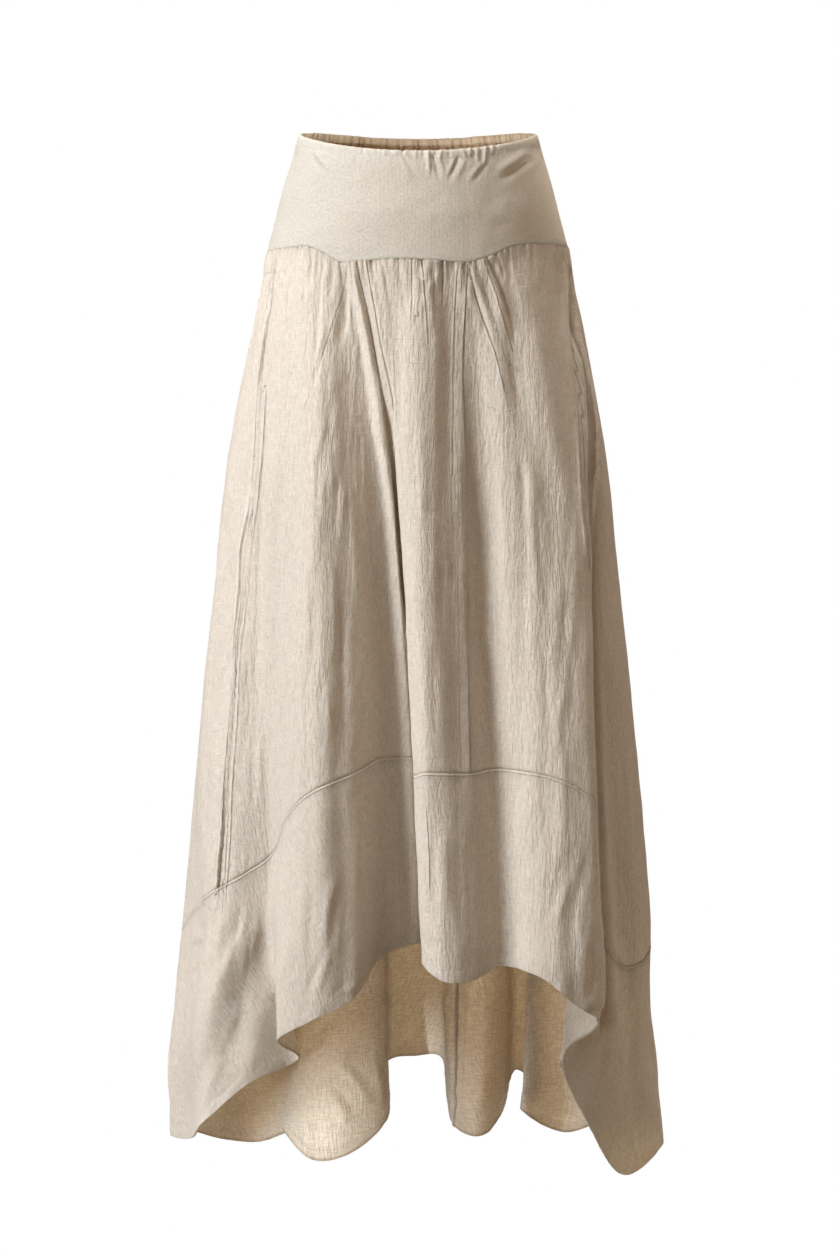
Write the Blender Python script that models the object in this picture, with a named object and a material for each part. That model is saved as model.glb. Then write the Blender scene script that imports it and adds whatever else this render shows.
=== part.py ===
"""A maxi skirt of undyed linen, hollow and filled out as when it is worn.

Units are metres and +Z is up. The front faces -Y, and +X is the viewer's right.
The origin is the middle of the waist opening, at the height of its elastic.
The named tables below are in millimetres, and MM turns them into metres.

The skirt below the yoke is one surface with two coordinates. "Around" runs from the
front centre to the right, the back and the left, through the named folds. "Down" runs
from 0 at the yoke seam to 1 at the hem. Each sewn piece is a wall cut from that surface
between two of the folds.
"""
import math

import bpy
import numpy as np

MM = 0.001

# Cloth and sewing
LINEN_WALL = 1.2
KNIT_WALL = 1.6
CASING_WALL = 2.2
SEAM_GAP = 0.3

# Waist opening: its edge is high at the sides and the back, and dips at the front
WAIST_SIDE_HEIGHT = 8.5
WAIST_TILT = 13.5
WAIST_DIP = 10.6
CASING_HEIGHT = 13.0
CASING_BULGE = 1.2
CASING_PLEAT_DEPTH = 0.9
CASING_COLUMNS = 112

# Oval of the body of the skirt: height, half width, half depth
OVAL_SECTIONS = (
    (12.0, 117.5, 94.0),
    (-14.0, 124.5, 99.0),
    (-46.0, 134.0, 108.0),
    (-76.0, 141.5, 115.5),
    (-106.0, 149.5, 121.0),
    (-136.0, 157.0, 126.0),
    (-180.0, 166.0, 133.0),
)

# Folds down the skirt, from the front centre round by the right:
# name, angle at the yoke in degrees, x and y at mid height, x, y and z at the hem
MID_HEIGHT = -480.0
FOLDS = (
    ("front_centre", 5.0, 3, -173, 22, -212, -808),
    ("fell_seam", 18.0, 48, -156, 52, -200, -809),
    ("right_valley", 28.0, 76, -143, 80, -178, -799),
    ("right_soft_crest", 40.0, 117, -160, 121, -204, -809),
    ("right_face", 56.0, 143, -151, 150, -196, -833),
    ("right_crest", 77.0, 162, -131, 174, -168, -856),
    ("right_inner", 83.0, 161, -90, 141, -110, -903),
    ("right_side_front", 88.0, 184, -68, 165, -82, -964),
    ("right_low_point", 94.0, 200, -38, 203, -44, -1027),
    ("right_side", 102.0, 205, 2, 246, -2, -1006),
    ("right_side_back", 115.0, 192, 68, 234, 60, -996),
    ("right_back_edge", 130.0, 170, 112, 198, 116, -1003),
    ("right_back_face", 140.0, 142, 144, 152, 146, -1021),
    ("right_back_nose", 149.0, 113, 152, 109, 116, -993),
    ("right_back_dark", 153.5, 107, 174, 123, 190, -975),
    ("right_back_inner", 158.0, 96, 177, 103, 203, -965),
    ("back_fold_right", 163.0, 80, 172, 87, 142, -999),
    ("back_fold_nose", 169.0, 58, 167, 62, 96, -1016),
    ("centre_back_seam", 175.0, 38, 174, 39, 110, -1009),
    ("back_fold_edge", 177.5, 29, 181, 33, 124, -998),
    ("back_dark_right", 180.0, 22, 187, 26, 206, -953),
    ("back_dark_middle", 188.0, -4, 191, -2, 222, -953),
    ("back_dark_left", 197.0, -30, 187, -34, 206, -957),
    ("bright_fold_right", 204.0, -50, 172, -34, 108, -1001),
    ("bright_fold_nose", 212.0, -72, 160, -76, 46, -1027),
    ("bright_fold_tip", 219.0, -94, 157, -112, 38, -1027),
    ("bright_fold_edge", 224.5, -106, 156, -137, 60, -1003),
    ("bright_fold_left", 230.0, -124, 152, -129, 99, -1009),
    ("left_back_face", 238.0, -145, 144, -164, 136, -1029),
    ("left_back_edge", 249.0, -170, 118, -200, 120, -1024),
    ("left_side_back", 261.0, -194, 66, -236, 66, -1004),
    ("left_side", 271.0, -207, 8, -248, 2, -997),
    ("left_side_front", 280.0, -199, -42, -228, -34, -993),
    ("left_seam", 289.5, -178, -87, -209, -104, -962),
    ("left_lower_slope", 298.0, -165, -106, -165, -117, -923),
    ("left_inner", 305.5, -149, -114, -119, -108, -902),
    ("left_crest", 314.5, -116, -151, -133, -168, -871),
    ("left_face", 322.0, -97, -162, -102, -188, -850),
    ("left_slope", 331.0, -61, -152, -64, -180, -831),
    ("left_turn", 335.0, -36, -139, -34, -150, -794),
    ("pleat_edge", 337.2, -13, -129, -2, -132, -784),
    ("pleat_back", 338.9, -13, -117, 9, -119, -783),
    ("pleat_root", 341.0, -9, -118, 15, -131, -786),
    ("centre_edge", 352.0, -9, -159, 5, -190, -796),
)

# Fullness of single folds between those heights:
# name, height of its middle, how far it reaches up and down, shift of x and y
FULLNESS = (
    ("right_crest", -290.0, 170.0, 18, -2),
    ("right_inner", -290.0, 170.0, 6, 0),
    ("right_side", -880.0, 130.0, -7, 0),
    ("right_low_point", -880.0, 130.0, -4, 0),
    ("right_side_back", -880.0, 130.0, -5, 0),
    ("left_side", -900.0, 140.0, -4, 0),
    ("left_side_front", -900.0, 140.0, -4, 0),
    ("left_seam", -330.0, 170.0, 4, -2),
    ("back_fold_edge", -880.0, 110.0, -7, -3),
    ("bright_fold_edge", -890.0, 100.0, 7, 0),
    ("left_crest", -800.0, 130.0, -4, 0),
    ("left_inner", -790.0, 110.0, -13, -4),
    ("centre_edge", -310.0, 160.0, -2, -2),
    ("pleat_edge", -290.0, 170.0, 3, 0),
    ("pleat_back", -290.0, 170.0, 3, 0),
    ("pleat_root", -290.0, 170.0, 4, 0),
    ("pleat_back", -235.0, 140.0, 2, -5),
    ("pleat_root", -235.0, 140.0, 2, -14),
    ("fell_seam", -240.0, 110.0, -4, 0),
)

# Height of the yoke seam at the folds, in between it is a smooth curve
YOKE_SEAM = (
    ("front_centre", -123.0),
    ("fell_seam", -125.0),
    ("right_valley", -118.0),
    ("right_soft_crest", -108.0),
    ("right_face", -105.5),
    ("right_side", -108.0),
    ("back_fold_nose", -114.0),
    ("left_side", -112.0),
    ("left_seam", -109.0),
    ("left_crest", -108.0),
    ("left_face", -114.0),
    ("left_slope", -124.5),
    ("pleat_root", -123.5),
    ("centre_edge", -121.5),
)

# Height of the seam between the long panels and the lower bands
BAND_SEAM = (
    ("front_centre", -612.0),
    ("fell_seam", -614.0),
    ("right_valley", -611.0),
    ("right_soft_crest", -615.0),
    ("right_face", -626.0),
    ("right_crest", -651.0),
    ("right_inner", -720.0),
    ("right_side_front", -786.0),
    ("right_low_point", -818.0),
    ("right_side", -806.0),
    ("right_side_back", -788.0),
    ("right_back_face", -765.0),
    ("centre_back_seam", -745.0),
    ("left_back_face", -760.0),
    ("left_side", -785.0),
    ("left_side_front", -762.0),
    ("left_seam", -735.0),
    ("left_inner", -698.0),
    ("left_crest", -648.0),
    ("left_slope", -614.0),
    ("left_turn", -602.0),
    ("pleat_edge", -602.0),
    ("centre_edge", -616.0),
)

# Long panels and lower bands: name, fold where it starts, fold where it ends
PANELS = (
    ("front_centre_panel", "pleat_root", "fell_seam"),
    ("front_right_panel", "fell_seam", "right_inner"),
    ("side_right_panel", "right_inner", "right_side_back"),
    ("back_right_panel", "right_side_back", "centre_back_seam"),
    ("back_left_panel", "centre_back_seam", "left_side_back"),
    ("side_left_panel", "left_side_back", "left_seam"),
    ("front_left_panel", "left_seam", "pleat_root"),
)
BANDS = (
    ("band_front", "pleat_root", "right_inner"),
    ("band_right", "right_inner", "right_side_back"),
    ("band_back_right", "right_side_back", "centre_back_seam"),
    ("band_back_left", "centre_back_seam", "left_side_back"),
    ("band_left", "left_side_back", "pleat_root"),
)

# Share of the way down a piece at each row of its mesh
PANEL_ROWS = (0.0, 0.028, 0.07, 0.14, 0.24, 0.36, 0.49, 0.62, 0.75, 0.88, 1.0)
BAND_ROWS = (0.0, 0.2, 0.4, 0.6, 0.8, 1.0)
YOKE_ROWS = (0.0, 0.33, 0.67, 1.0)
CASING_ROWS = (0.0, 0.45, 1.0)

# Gathers into the yoke seam: two mesh columns make one gather
GATHER_SPACING = 12.4
GATHER_DEPTH = 2.0
GATHER_FADE = 34.0
HEM_COLUMN = 20.0
GATHER_UNEVENNESS = ((0.24, 1.7, 0.0), (0.14, 0.61, 1.0))
HIP_FULLNESS = 0.022
TOP_BLEND = 26.0

# Steps for reading the surface: levels down a fold, and the short ways that give its slope
FOLD_LEVELS = 61
SMALL_AROUND = 0.02
SMALL_DOWN = 0.004
SMALL_ANGLE = 0.01
SMALL_HEIGHT = 6.0
YOKE_MEAN_HEIGHT = -120.0
CLOSE_ANGLE = 0.02
SHARP_ANGLE = 50.0

COLOURS = {
    "linen_cream": (0.66, 0.575, 0.46, 1.0),
    "knit_oatmeal": (0.62, 0.54, 0.43, 1.0),
    "elastic_casing": (0.60, 0.52, 0.41, 1.0),
}
LINEN_ROUGHNESS = 0.9
KNIT_ROUGHNESS = 0.85


FOLD_NAMES = [fold[0] for fold in FOLDS]
FOLD_COUNT = len(FOLDS)
HEM_HEIGHTS = np.array([fold[6] for fold in FOLDS], dtype=float)


def fold_knots():
    """Places of the folds on the around axis, closer together where the folds are tight."""
    mid = np.array([fold[2:4] for fold in FOLDS], dtype=float)
    hem = np.array([fold[4:6] for fold in FOLDS], dtype=float)
    chord = 0.5 * np.linalg.norm(np.roll(mid, -1, axis=0) - mid, axis=1)
    chord += 0.5 * np.linalg.norm(np.roll(hem, -1, axis=0) - hem, axis=1)
    return np.concatenate([[0.0], np.cumsum(np.sqrt(chord))])


KNOTS = fold_knots()
PERIOD = KNOTS[-1]


def around(name):
    """The around coordinate of a named fold."""
    return KNOTS[FOLD_NAMES.index(name)]


def ring_tangents(values):
    """Smooth slopes at the folds of a closed ring of values, one row for each fold."""
    step = np.diff(KNOTS)
    shape = (-1,) + (1,) * (values.ndim - 1)
    after = (np.roll(values, -1, axis=0) - values) / step.reshape(shape)
    before = np.roll(after, 1, axis=0)
    step_after = step.reshape(shape)
    step_before = np.roll(step, 1).reshape(shape)
    return (after * step_before + before * step_after) / (step_after + step_before)


def ring_curve(values, u):
    """Values of a closed ring, given at the folds, read at the around coordinates u."""
    u = np.mod(u, PERIOD)
    cell = np.clip(np.searchsorted(KNOTS, u, side="right") - 1, 0, FOLD_COUNT - 1)
    step = np.diff(KNOTS)[cell]
    share = (u - KNOTS[cell]) / step
    following = (cell + 1) % FOLD_COUNT
    slopes = ring_tangents(values)
    shape = (-1,) + (1,) * (values.ndim - 1)
    s = share.reshape(shape)
    h = step.reshape(shape)
    value = (2 * s**3 - 3 * s**2 + 1) * values[cell] + (3 * s**2 - 2 * s**3) * values[following]
    return value + h * ((s**3 - 2 * s**2 + s) * slopes[cell] + (s**3 - s**2) * slopes[following])


def seam_heights(rows, u):
    """A seam's height at u, eased from one named fold to the next with level ends."""
    places = np.array([around(name) for name, _ in rows])
    heights = np.array([height for _, height in rows])
    order = np.argsort(places)
    places = places[order]
    heights = heights[order]
    places = np.concatenate([places[-1:] - PERIOD, places, places[:1] + PERIOD])
    heights = np.concatenate([heights[-1:], heights, heights[:1]])
    steps = np.diff(places)
    rises = np.diff(heights) / steps
    slopes = np.zeros_like(heights)
    same_way = rises[1:] * rises[:-1] > 0
    mean = 2 * rises[1:] * rises[:-1] / np.where(same_way, rises[1:] + rises[:-1], 1.0)
    slopes[1:-1] = np.where(same_way, mean, 0.0)
    slopes[0] = slopes[-2]
    slopes[-1] = slopes[1]
    u = np.mod(u, PERIOD)
    cell = np.clip(np.searchsorted(places, u, side="right") - 1, 0, len(steps) - 1)
    s = (u - places[cell]) / steps[cell]
    h = steps[cell]
    value = (2 * s**3 - 3 * s**2 + 1) * heights[cell] + (3 * s**2 - 2 * s**3) * heights[cell + 1]
    return value + h * ((s**3 - 2 * s**2 + s) * slopes[cell] + (s**3 - s**2) * slopes[cell + 1])


def oval(height):
    """Half width and half depth of the body's oval at a height."""
    heights = np.array([row[0] for row in OVAL_SECTIONS])[::-1]
    widths = np.array([row[1] for row in OVAL_SECTIONS])[::-1]
    depths = np.array([row[2] for row in OVAL_SECTIONS])[::-1]
    return np.interp(height, heights, widths), np.interp(height, heights, depths)


def oval_point(angle, height):
    """A point of the body's oval: the angle is 0 at the front and grows to the right."""
    angle, height = np.broadcast_arrays(angle, height)
    width, depth = oval(height)
    return np.stack([width * np.sin(angle), -depth * np.cos(angle), height], axis=-1)


def fold_lines(down):
    """Points of all folds at the shares down, an array of fold by share by 3."""
    angle = np.radians([fold[1] for fold in FOLDS])
    places = KNOTS[:-1]
    top_height = seam_heights(YOKE_SEAM, places)
    hem = np.array([fold[4:7] for fold in FOLDS], dtype=float)
    mid = np.array([fold[2:4] for fold in FOLDS], dtype=float)
    top = oval_point(angle, top_height)
    mid_share = (top_height - MID_HEIGHT) / (top_height - hem[:, 2])
    t = np.asarray(down)[None, :, None]
    m = mid_share[:, None, None]
    flat = top[:, None, :2] * ((t - m) * (t - 1) / m)
    flat = flat + mid[:, None, :] * (t * (t - 1) / (m * (m - 1)))
    flat = flat + hem[:, None, :2] * (t * (t - m) / (1 - m))
    flat = flat * (1 + HIP_FULLNESS * np.sin(math.pi * np.clip(t / m, 0, 1)) ** 2)
    height = top_height[:, None, None] + t * (hem[:, None, 2:] - top_height[:, None, None])
    for name, middle, reach, shift_x, shift_y in FULLNESS:
        fold = FOLD_NAMES.index(name)
        away = np.clip((height[fold] - middle) / reach, -1.0, 1.0)
        flat[fold] += np.array([shift_x, shift_y]) * np.cos(away * math.pi / 2) ** 2
    return np.concatenate([flat, height], axis=2)


def skirt_surface(u, down):
    """Points of the skirt for a grid: down has one row of shares for each column of u."""
    down = np.broadcast_to(down, (down.shape[0], len(u)))
    levels = np.linspace(0.0, 1.0, FOLD_LEVELS)
    lines = fold_lines(levels)
    columns = ring_curve(lines, u)
    place = np.clip(down, 0.0, 1.0) * (len(levels) - 1)
    low = np.clip(place.astype(int), 0, len(levels) - 2)
    part = (place - low)[..., None]
    pick = np.arange(len(u))[None, :]
    points = columns[pick, low] * (1 - part) + columns[pick, low + 1] * part
    angle = np.unwrap(np.arctan2(points[..., 0] / oval(points[..., 2])[0],
                                 -points[..., 1] / oval(points[..., 2])[1]))
    on_oval = oval_point(angle, points[..., 2])
    below_seam = (seam_heights(YOKE_SEAM, u)[None, :] - points[..., 2])[..., None]
    keep = np.clip(below_seam / TOP_BLEND, 0.0, 1.0)
    keep = keep * keep * (3 - 2 * keep)
    return on_oval * (1 - keep) + points * keep


def band_share(u):
    """How far down the skirt the seam of the lower band runs, at u."""
    top = seam_heights(YOKE_SEAM, u)
    hem = ring_curve(HEM_HEIGHTS, u)
    return (top - seam_heights(BAND_SEAM, u)) / (top - hem)


def surface_normals(u, down):
    """Outward unit normals of the plain surface, without the gathers."""
    across = skirt_surface(u + SMALL_AROUND, down) - skirt_surface(u - SMALL_AROUND, down)
    lower = np.clip(down + SMALL_DOWN, 0, 1)
    upper = np.clip(down - SMALL_DOWN, 0, 1)
    along = skirt_surface(u, lower) - skirt_surface(u, upper)
    normal = np.cross(along, across)
    return normal / np.linalg.norm(normal, axis=-1, keepdims=True)


def skirt_columns():
    """Around coordinates of the mesh columns, and the index of each fold's column."""
    top = oval_point(np.radians([fold[1] for fold in FOLDS] + [360 + FOLDS[0][1]]),
                     YOKE_MEAN_HEIGHT)
    yoke_length = np.linalg.norm(np.diff(top, axis=0), axis=1)
    hem = np.array([fold[4:7] for fold in FOLDS] + [FOLDS[0][4:7]], dtype=float)
    hem_length = np.linalg.norm(np.diff(hem, axis=0), axis=1)
    wanted = np.maximum(yoke_length / (GATHER_SPACING / 2), hem_length / HEM_COLUMN)
    counts = np.maximum(np.round(wanted), 2).astype(int)
    places = [np.linspace(KNOTS[k], KNOTS[k + 1], counts[k] + 1)[:-1] for k in range(FOLD_COUNT)]
    starts = np.concatenate([[0], np.cumsum(counts)])
    return np.concatenate(places), starts


COLUMN_PLACES, FOLD_COLUMNS = skirt_columns()
COLUMN_COUNT = len(COLUMN_PLACES)


def piece_columns(first, last):
    """Mesh columns from one fold to another, their numbers and around coordinates."""
    start = FOLD_COLUMNS[FOLD_NAMES.index(first)]
    end = FOLD_COLUMNS[FOLD_NAMES.index(last)]
    if end <= start:
        end += COLUMN_COUNT
    numbers = np.arange(start, end + 1)
    places = COLUMN_PLACES[numbers % COLUMN_COUNT] + PERIOD * (numbers // COLUMN_COUNT)
    return numbers, places


def gather_height(numbers, below_seam):
    """How far each mesh column stands out or in, fading below the yoke seam."""
    side = np.where(numbers % 2 == 0, 1.0, -1.0)
    uneven = np.full(numbers.shape, 1.0 - sum(wave[0] for wave in GATHER_UNEVENNESS))
    for share, turns, start in GATHER_UNEVENNESS:
        uneven = uneven + share * np.sin(turns * numbers + start)
    reach = GATHER_FADE * (0.6 + 0.5 * uneven)
    return GATHER_DEPTH * side * uneven * np.exp(-below_seam / reach)


def steepness(u, share):
    """How much longer a gap is along the way down than square to a sloping seam."""
    line = skirt_surface(u, share[None, :])[0]
    run = np.linalg.norm(np.diff(line[:, :2], axis=0), axis=1)
    rise = np.abs(np.diff(line[:, 2]))
    slope = np.concatenate([[0.0], rise / run, [0.0]])
    return np.sqrt(1 + np.maximum(slope[1:], slope[:-1]) ** 2)


def skirt_grid(first, last, upper_share, lower_share, rows, upper_gap, lower_gap):
    """Outer points and normals of a piece between two folds and two shares down."""
    numbers, u = piece_columns(first, last)
    top = upper_share(u)
    bottom = lower_share(u)
    height = seam_heights(YOKE_SEAM, u) - ring_curve(HEM_HEIGHTS, u)
    top = top + upper_gap * steepness(u, top) / height
    bottom = bottom - lower_gap * steepness(u, bottom) / height
    down = top[None, :] + np.array(rows)[:, None] * (bottom - top)[None, :]
    points = skirt_surface(u, down)
    normals = surface_normals(u, down)
    below_seam = seam_heights(YOKE_SEAM, u)[None, :] - points[..., 2]
    points = points + normals * gather_height(numbers, below_seam)[..., None]
    inset_side(points, 0, 1)
    inset_side(points, -1, -2)
    return points, normals


def inset_side(points, edge, inner):
    """Draw a side edge back along the surface by half a seam gap."""
    toward = points[:, inner] - points[:, edge]
    length = np.linalg.norm(toward, axis=1, keepdims=True)
    points[:, edge] += toward / length * (SEAM_GAP / 2)


def material(name, roughness):
    """A plain cloth material in one of the named colours."""
    cloth = bpy.data.materials.new(name)
    cloth.use_nodes = True
    shader = cloth.node_tree.nodes["Principled BSDF"]
    shader.inputs["Base Color"].default_value = COLOURS[name]
    shader.inputs["Roughness"].default_value = roughness
    shader.inputs["Metallic"].default_value = 0.0
    return cloth


def add_wall(name, points, normals, thickness, cloth, ring=False):
    """A closed wall: the outer grid, the same grid moved in by the thickness, and the rims."""
    row_count, column_count = points.shape[:2]
    outer = points.reshape(-1, 3) * MM
    inner = (points - normals * thickness).reshape(-1, 3) * MM
    offset = len(outer)
    last_column = column_count if ring else column_count - 1
    faces = []
    for row in range(row_count - 1):
        for column in range(last_column):
            right = (column + 1) % column_count
            a = row * column_count + column
            b = (row + 1) * column_count + column
            c = (row + 1) * column_count + right
            d = row * column_count + right
            faces.append((a, b, c, d))
            faces.append((d + offset, c + offset, b + offset, a + offset))
    low = (row_count - 1) * column_count
    # The rims are split along the same diagonals, so two rims at a seam stay parallel
    for column in range(last_column):
        right = (column + 1) % column_count
        faces.append((column, right, right + offset))
        faces.append((column, right + offset, column + offset))
        faces.append((low + right, low + column, low + right + offset))
        faces.append((low + column, low + column + offset, low + right + offset))
    if not ring:
        for row in range(row_count - 1):
            a = row * column_count
            b = a + column_count
            faces.append((b, a, b + offset))
            faces.append((a, a + offset, b + offset))
            a = row * column_count + column_count - 1
            b = a + column_count
            faces.append((a, b, b + offset))
            faces.append((a, b + offset, a + offset))
    mesh = bpy.data.meshes.new(name)
    mesh.from_pydata(np.concatenate([outer, inner]).tolist(), [], faces)
    mesh.update()
    mesh.shade_smooth()
    mesh.set_sharp_from_angle(angle=math.radians(SHARP_ANGLE))
    mesh.materials.append(cloth)
    piece = bpy.data.objects.new(name, mesh)
    bpy.context.scene.collection.objects.link(piece)
    return piece


def waist_edge(angle):
    """Height of the waist's top edge: it dips at the front and is level at the back."""
    forward = -np.cos(angle)
    return WAIST_SIDE_HEIGHT + WAIST_TILT * forward - WAIST_DIP * forward**2


def seam_columns(first_angle, last_angle):
    """Angles and heights where the skirt's mesh columns meet the yoke seam."""
    u = np.concatenate([COLUMN_PLACES - PERIOD, COLUMN_PLACES, COLUMN_PLACES + PERIOD])
    points = skirt_surface(u, np.zeros((1, len(u))))[0]
    width, depth = oval(points[:, 2])
    angle = np.unwrap(np.arctan2(points[:, 0] / width, -points[:, 1] / depth))
    angle -= angle[COLUMN_COUNT] - angle[COLUMN_COUNT] % math.tau
    inside = (angle > first_angle + CLOSE_ANGLE) & (angle < last_angle - CLOSE_ANGLE)
    ends = np.interp([first_angle, last_angle], angle, points[:, 2])
    angles = np.concatenate([[first_angle], angle[inside], [last_angle]])
    return angles, np.concatenate([ends[:1], points[inside, 2], ends[1:]])


def oval_grid(angles, heights):
    """Points and normals of the body's oval for a grid of heights and angles."""
    angles = np.broadcast_to(angles, heights.shape)
    points = oval_point(angles, heights)
    across = oval_point(angles + SMALL_ANGLE, heights) - oval_point(angles - SMALL_ANGLE, heights)
    along = oval_point(angles, heights - SMALL_HEIGHT) - oval_point(angles, heights + SMALL_HEIGHT)
    normals = np.cross(along, across)
    return points, normals / np.linalg.norm(normals, axis=-1, keepdims=True)


def build_casing(cloth):
    """The elastic casing round the waist, pleated by its elastic."""
    angles = np.linspace(0.0, math.tau, CASING_COLUMNS, endpoint=False)
    rows = np.array(CASING_ROWS)[:, None]
    heights = waist_edge(angles)[None, :] - rows * (CASING_HEIGHT - SEAM_GAP / 2)
    points, normals = oval_grid(angles, heights)
    numbers = np.arange(CASING_COLUMNS)
    side = np.where(numbers % 2 == 0, 1.0, -1.0)
    pleats = CASING_PLEAT_DEPTH * side * (0.6 + 0.4 * np.sin(1.3 * numbers))
    roll = CASING_BULGE * np.sin(math.pi * (0.15 + 0.75 * rows))
    points = points + normals * (roll + pleats[None, :] * (0.5 + 0.5 * rows))[..., None]
    return add_wall("waist_casing", points, normals, CASING_WALL, cloth, ring=True)


def build_yoke(name, first_angle, last_angle, cloth):
    """One half of the yoke, from the casing to the yoke seam."""
    angles, seam = seam_columns(first_angle, last_angle)
    top = waist_edge(angles) - CASING_HEIGHT - SEAM_GAP / 2
    bottom = seam + SEAM_GAP / 2
    heights = top[None, :] + np.array(YOKE_ROWS)[:, None] * (bottom - top)[None, :]
    points, normals = oval_grid(angles, heights)
    inset_side(points, 0, 1)
    inset_side(points, -1, -2)
    return add_wall(name, points, normals, KNIT_WALL, cloth)


def yoke_share(u):
    """The share down of the yoke seam, which is the start of the skirt."""
    return np.zeros_like(u)


def hem_share(u):
    """The share down of the hem."""
    return np.ones_like(u)


def main():
    for item in list(bpy.data.objects):
        bpy.data.objects.remove(item)
    casing_cloth = material("elastic_casing", KNIT_ROUGHNESS)
    knit = material("knit_oatmeal", KNIT_ROUGHNESS)
    linen = material("linen_cream", LINEN_ROUGHNESS)
    build_casing(casing_cloth)
    build_yoke("yoke_front", -math.pi / 2, math.pi / 2, knit)
    build_yoke("yoke_back", math.pi / 2, math.pi * 3 / 2, knit)
    half = SEAM_GAP / 2
    for name, first, last in PANELS:
        points, normals = skirt_grid(first, last, yoke_share, band_share, PANEL_ROWS, half, half)
        add_wall(name, points, normals, LINEN_WALL, linen)
    for name, first, last in BANDS:
        points, normals = skirt_grid(first, last, band_share, hem_share, BAND_ROWS, half, 0.0)
        add_wall(name, points, normals, LINEN_WALL, linen)


if __name__ == "__main__":
    main()
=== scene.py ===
"""The looks of a maxi skirt of undyed linen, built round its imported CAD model.

The frame is in metres, +Z up, the front of the skirt faces -Y and +X is the viewer's right.
The cloth follows the same named folds and seams as the solids. Their tables, and every
size below, are in millimetres, and MM turns them into metres. Each sewn piece is a thin
shell on its solid's form, with finer gathers, creases, seams and hems.
"""
import math

import bpy
import numpy as np
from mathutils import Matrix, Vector


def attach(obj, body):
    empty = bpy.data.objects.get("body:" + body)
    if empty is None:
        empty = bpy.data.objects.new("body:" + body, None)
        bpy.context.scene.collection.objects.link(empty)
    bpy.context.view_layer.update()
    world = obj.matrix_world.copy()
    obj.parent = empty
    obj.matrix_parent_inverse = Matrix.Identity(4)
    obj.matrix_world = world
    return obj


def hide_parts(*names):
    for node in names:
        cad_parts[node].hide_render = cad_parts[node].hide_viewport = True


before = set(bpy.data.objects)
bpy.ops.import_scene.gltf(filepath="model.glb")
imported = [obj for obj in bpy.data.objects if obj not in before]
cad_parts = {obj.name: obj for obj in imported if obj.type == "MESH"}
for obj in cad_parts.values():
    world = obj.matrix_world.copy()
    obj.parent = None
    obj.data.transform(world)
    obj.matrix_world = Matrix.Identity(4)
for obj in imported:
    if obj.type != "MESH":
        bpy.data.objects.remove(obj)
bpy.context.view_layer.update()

MM = 0.001

# ---------------------------------------------------------------- sizes of the skirt
CLOTH_WALL = 0.9
KNIT_WALL = 1.3
CASING_WALL = 2.0
SEAM_GAP = 0.25

WAIST_SIDE_HEIGHT = 8.5
WAIST_TILT = 13.5
WAIST_DIP = 10.6
CASING_HEIGHT = 13.0

# Oval of the body of the skirt: height, half width, half depth
OVAL_SECTIONS = (
    (12.0, 117.5, 94.0),
    (-14.0, 124.5, 99.0),
    (-46.0, 134.0, 108.0),
    (-76.0, 141.5, 115.5),
    (-106.0, 149.5, 121.0),
    (-136.0, 157.0, 126.0),
    (-180.0, 166.0, 133.0),
)

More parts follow.
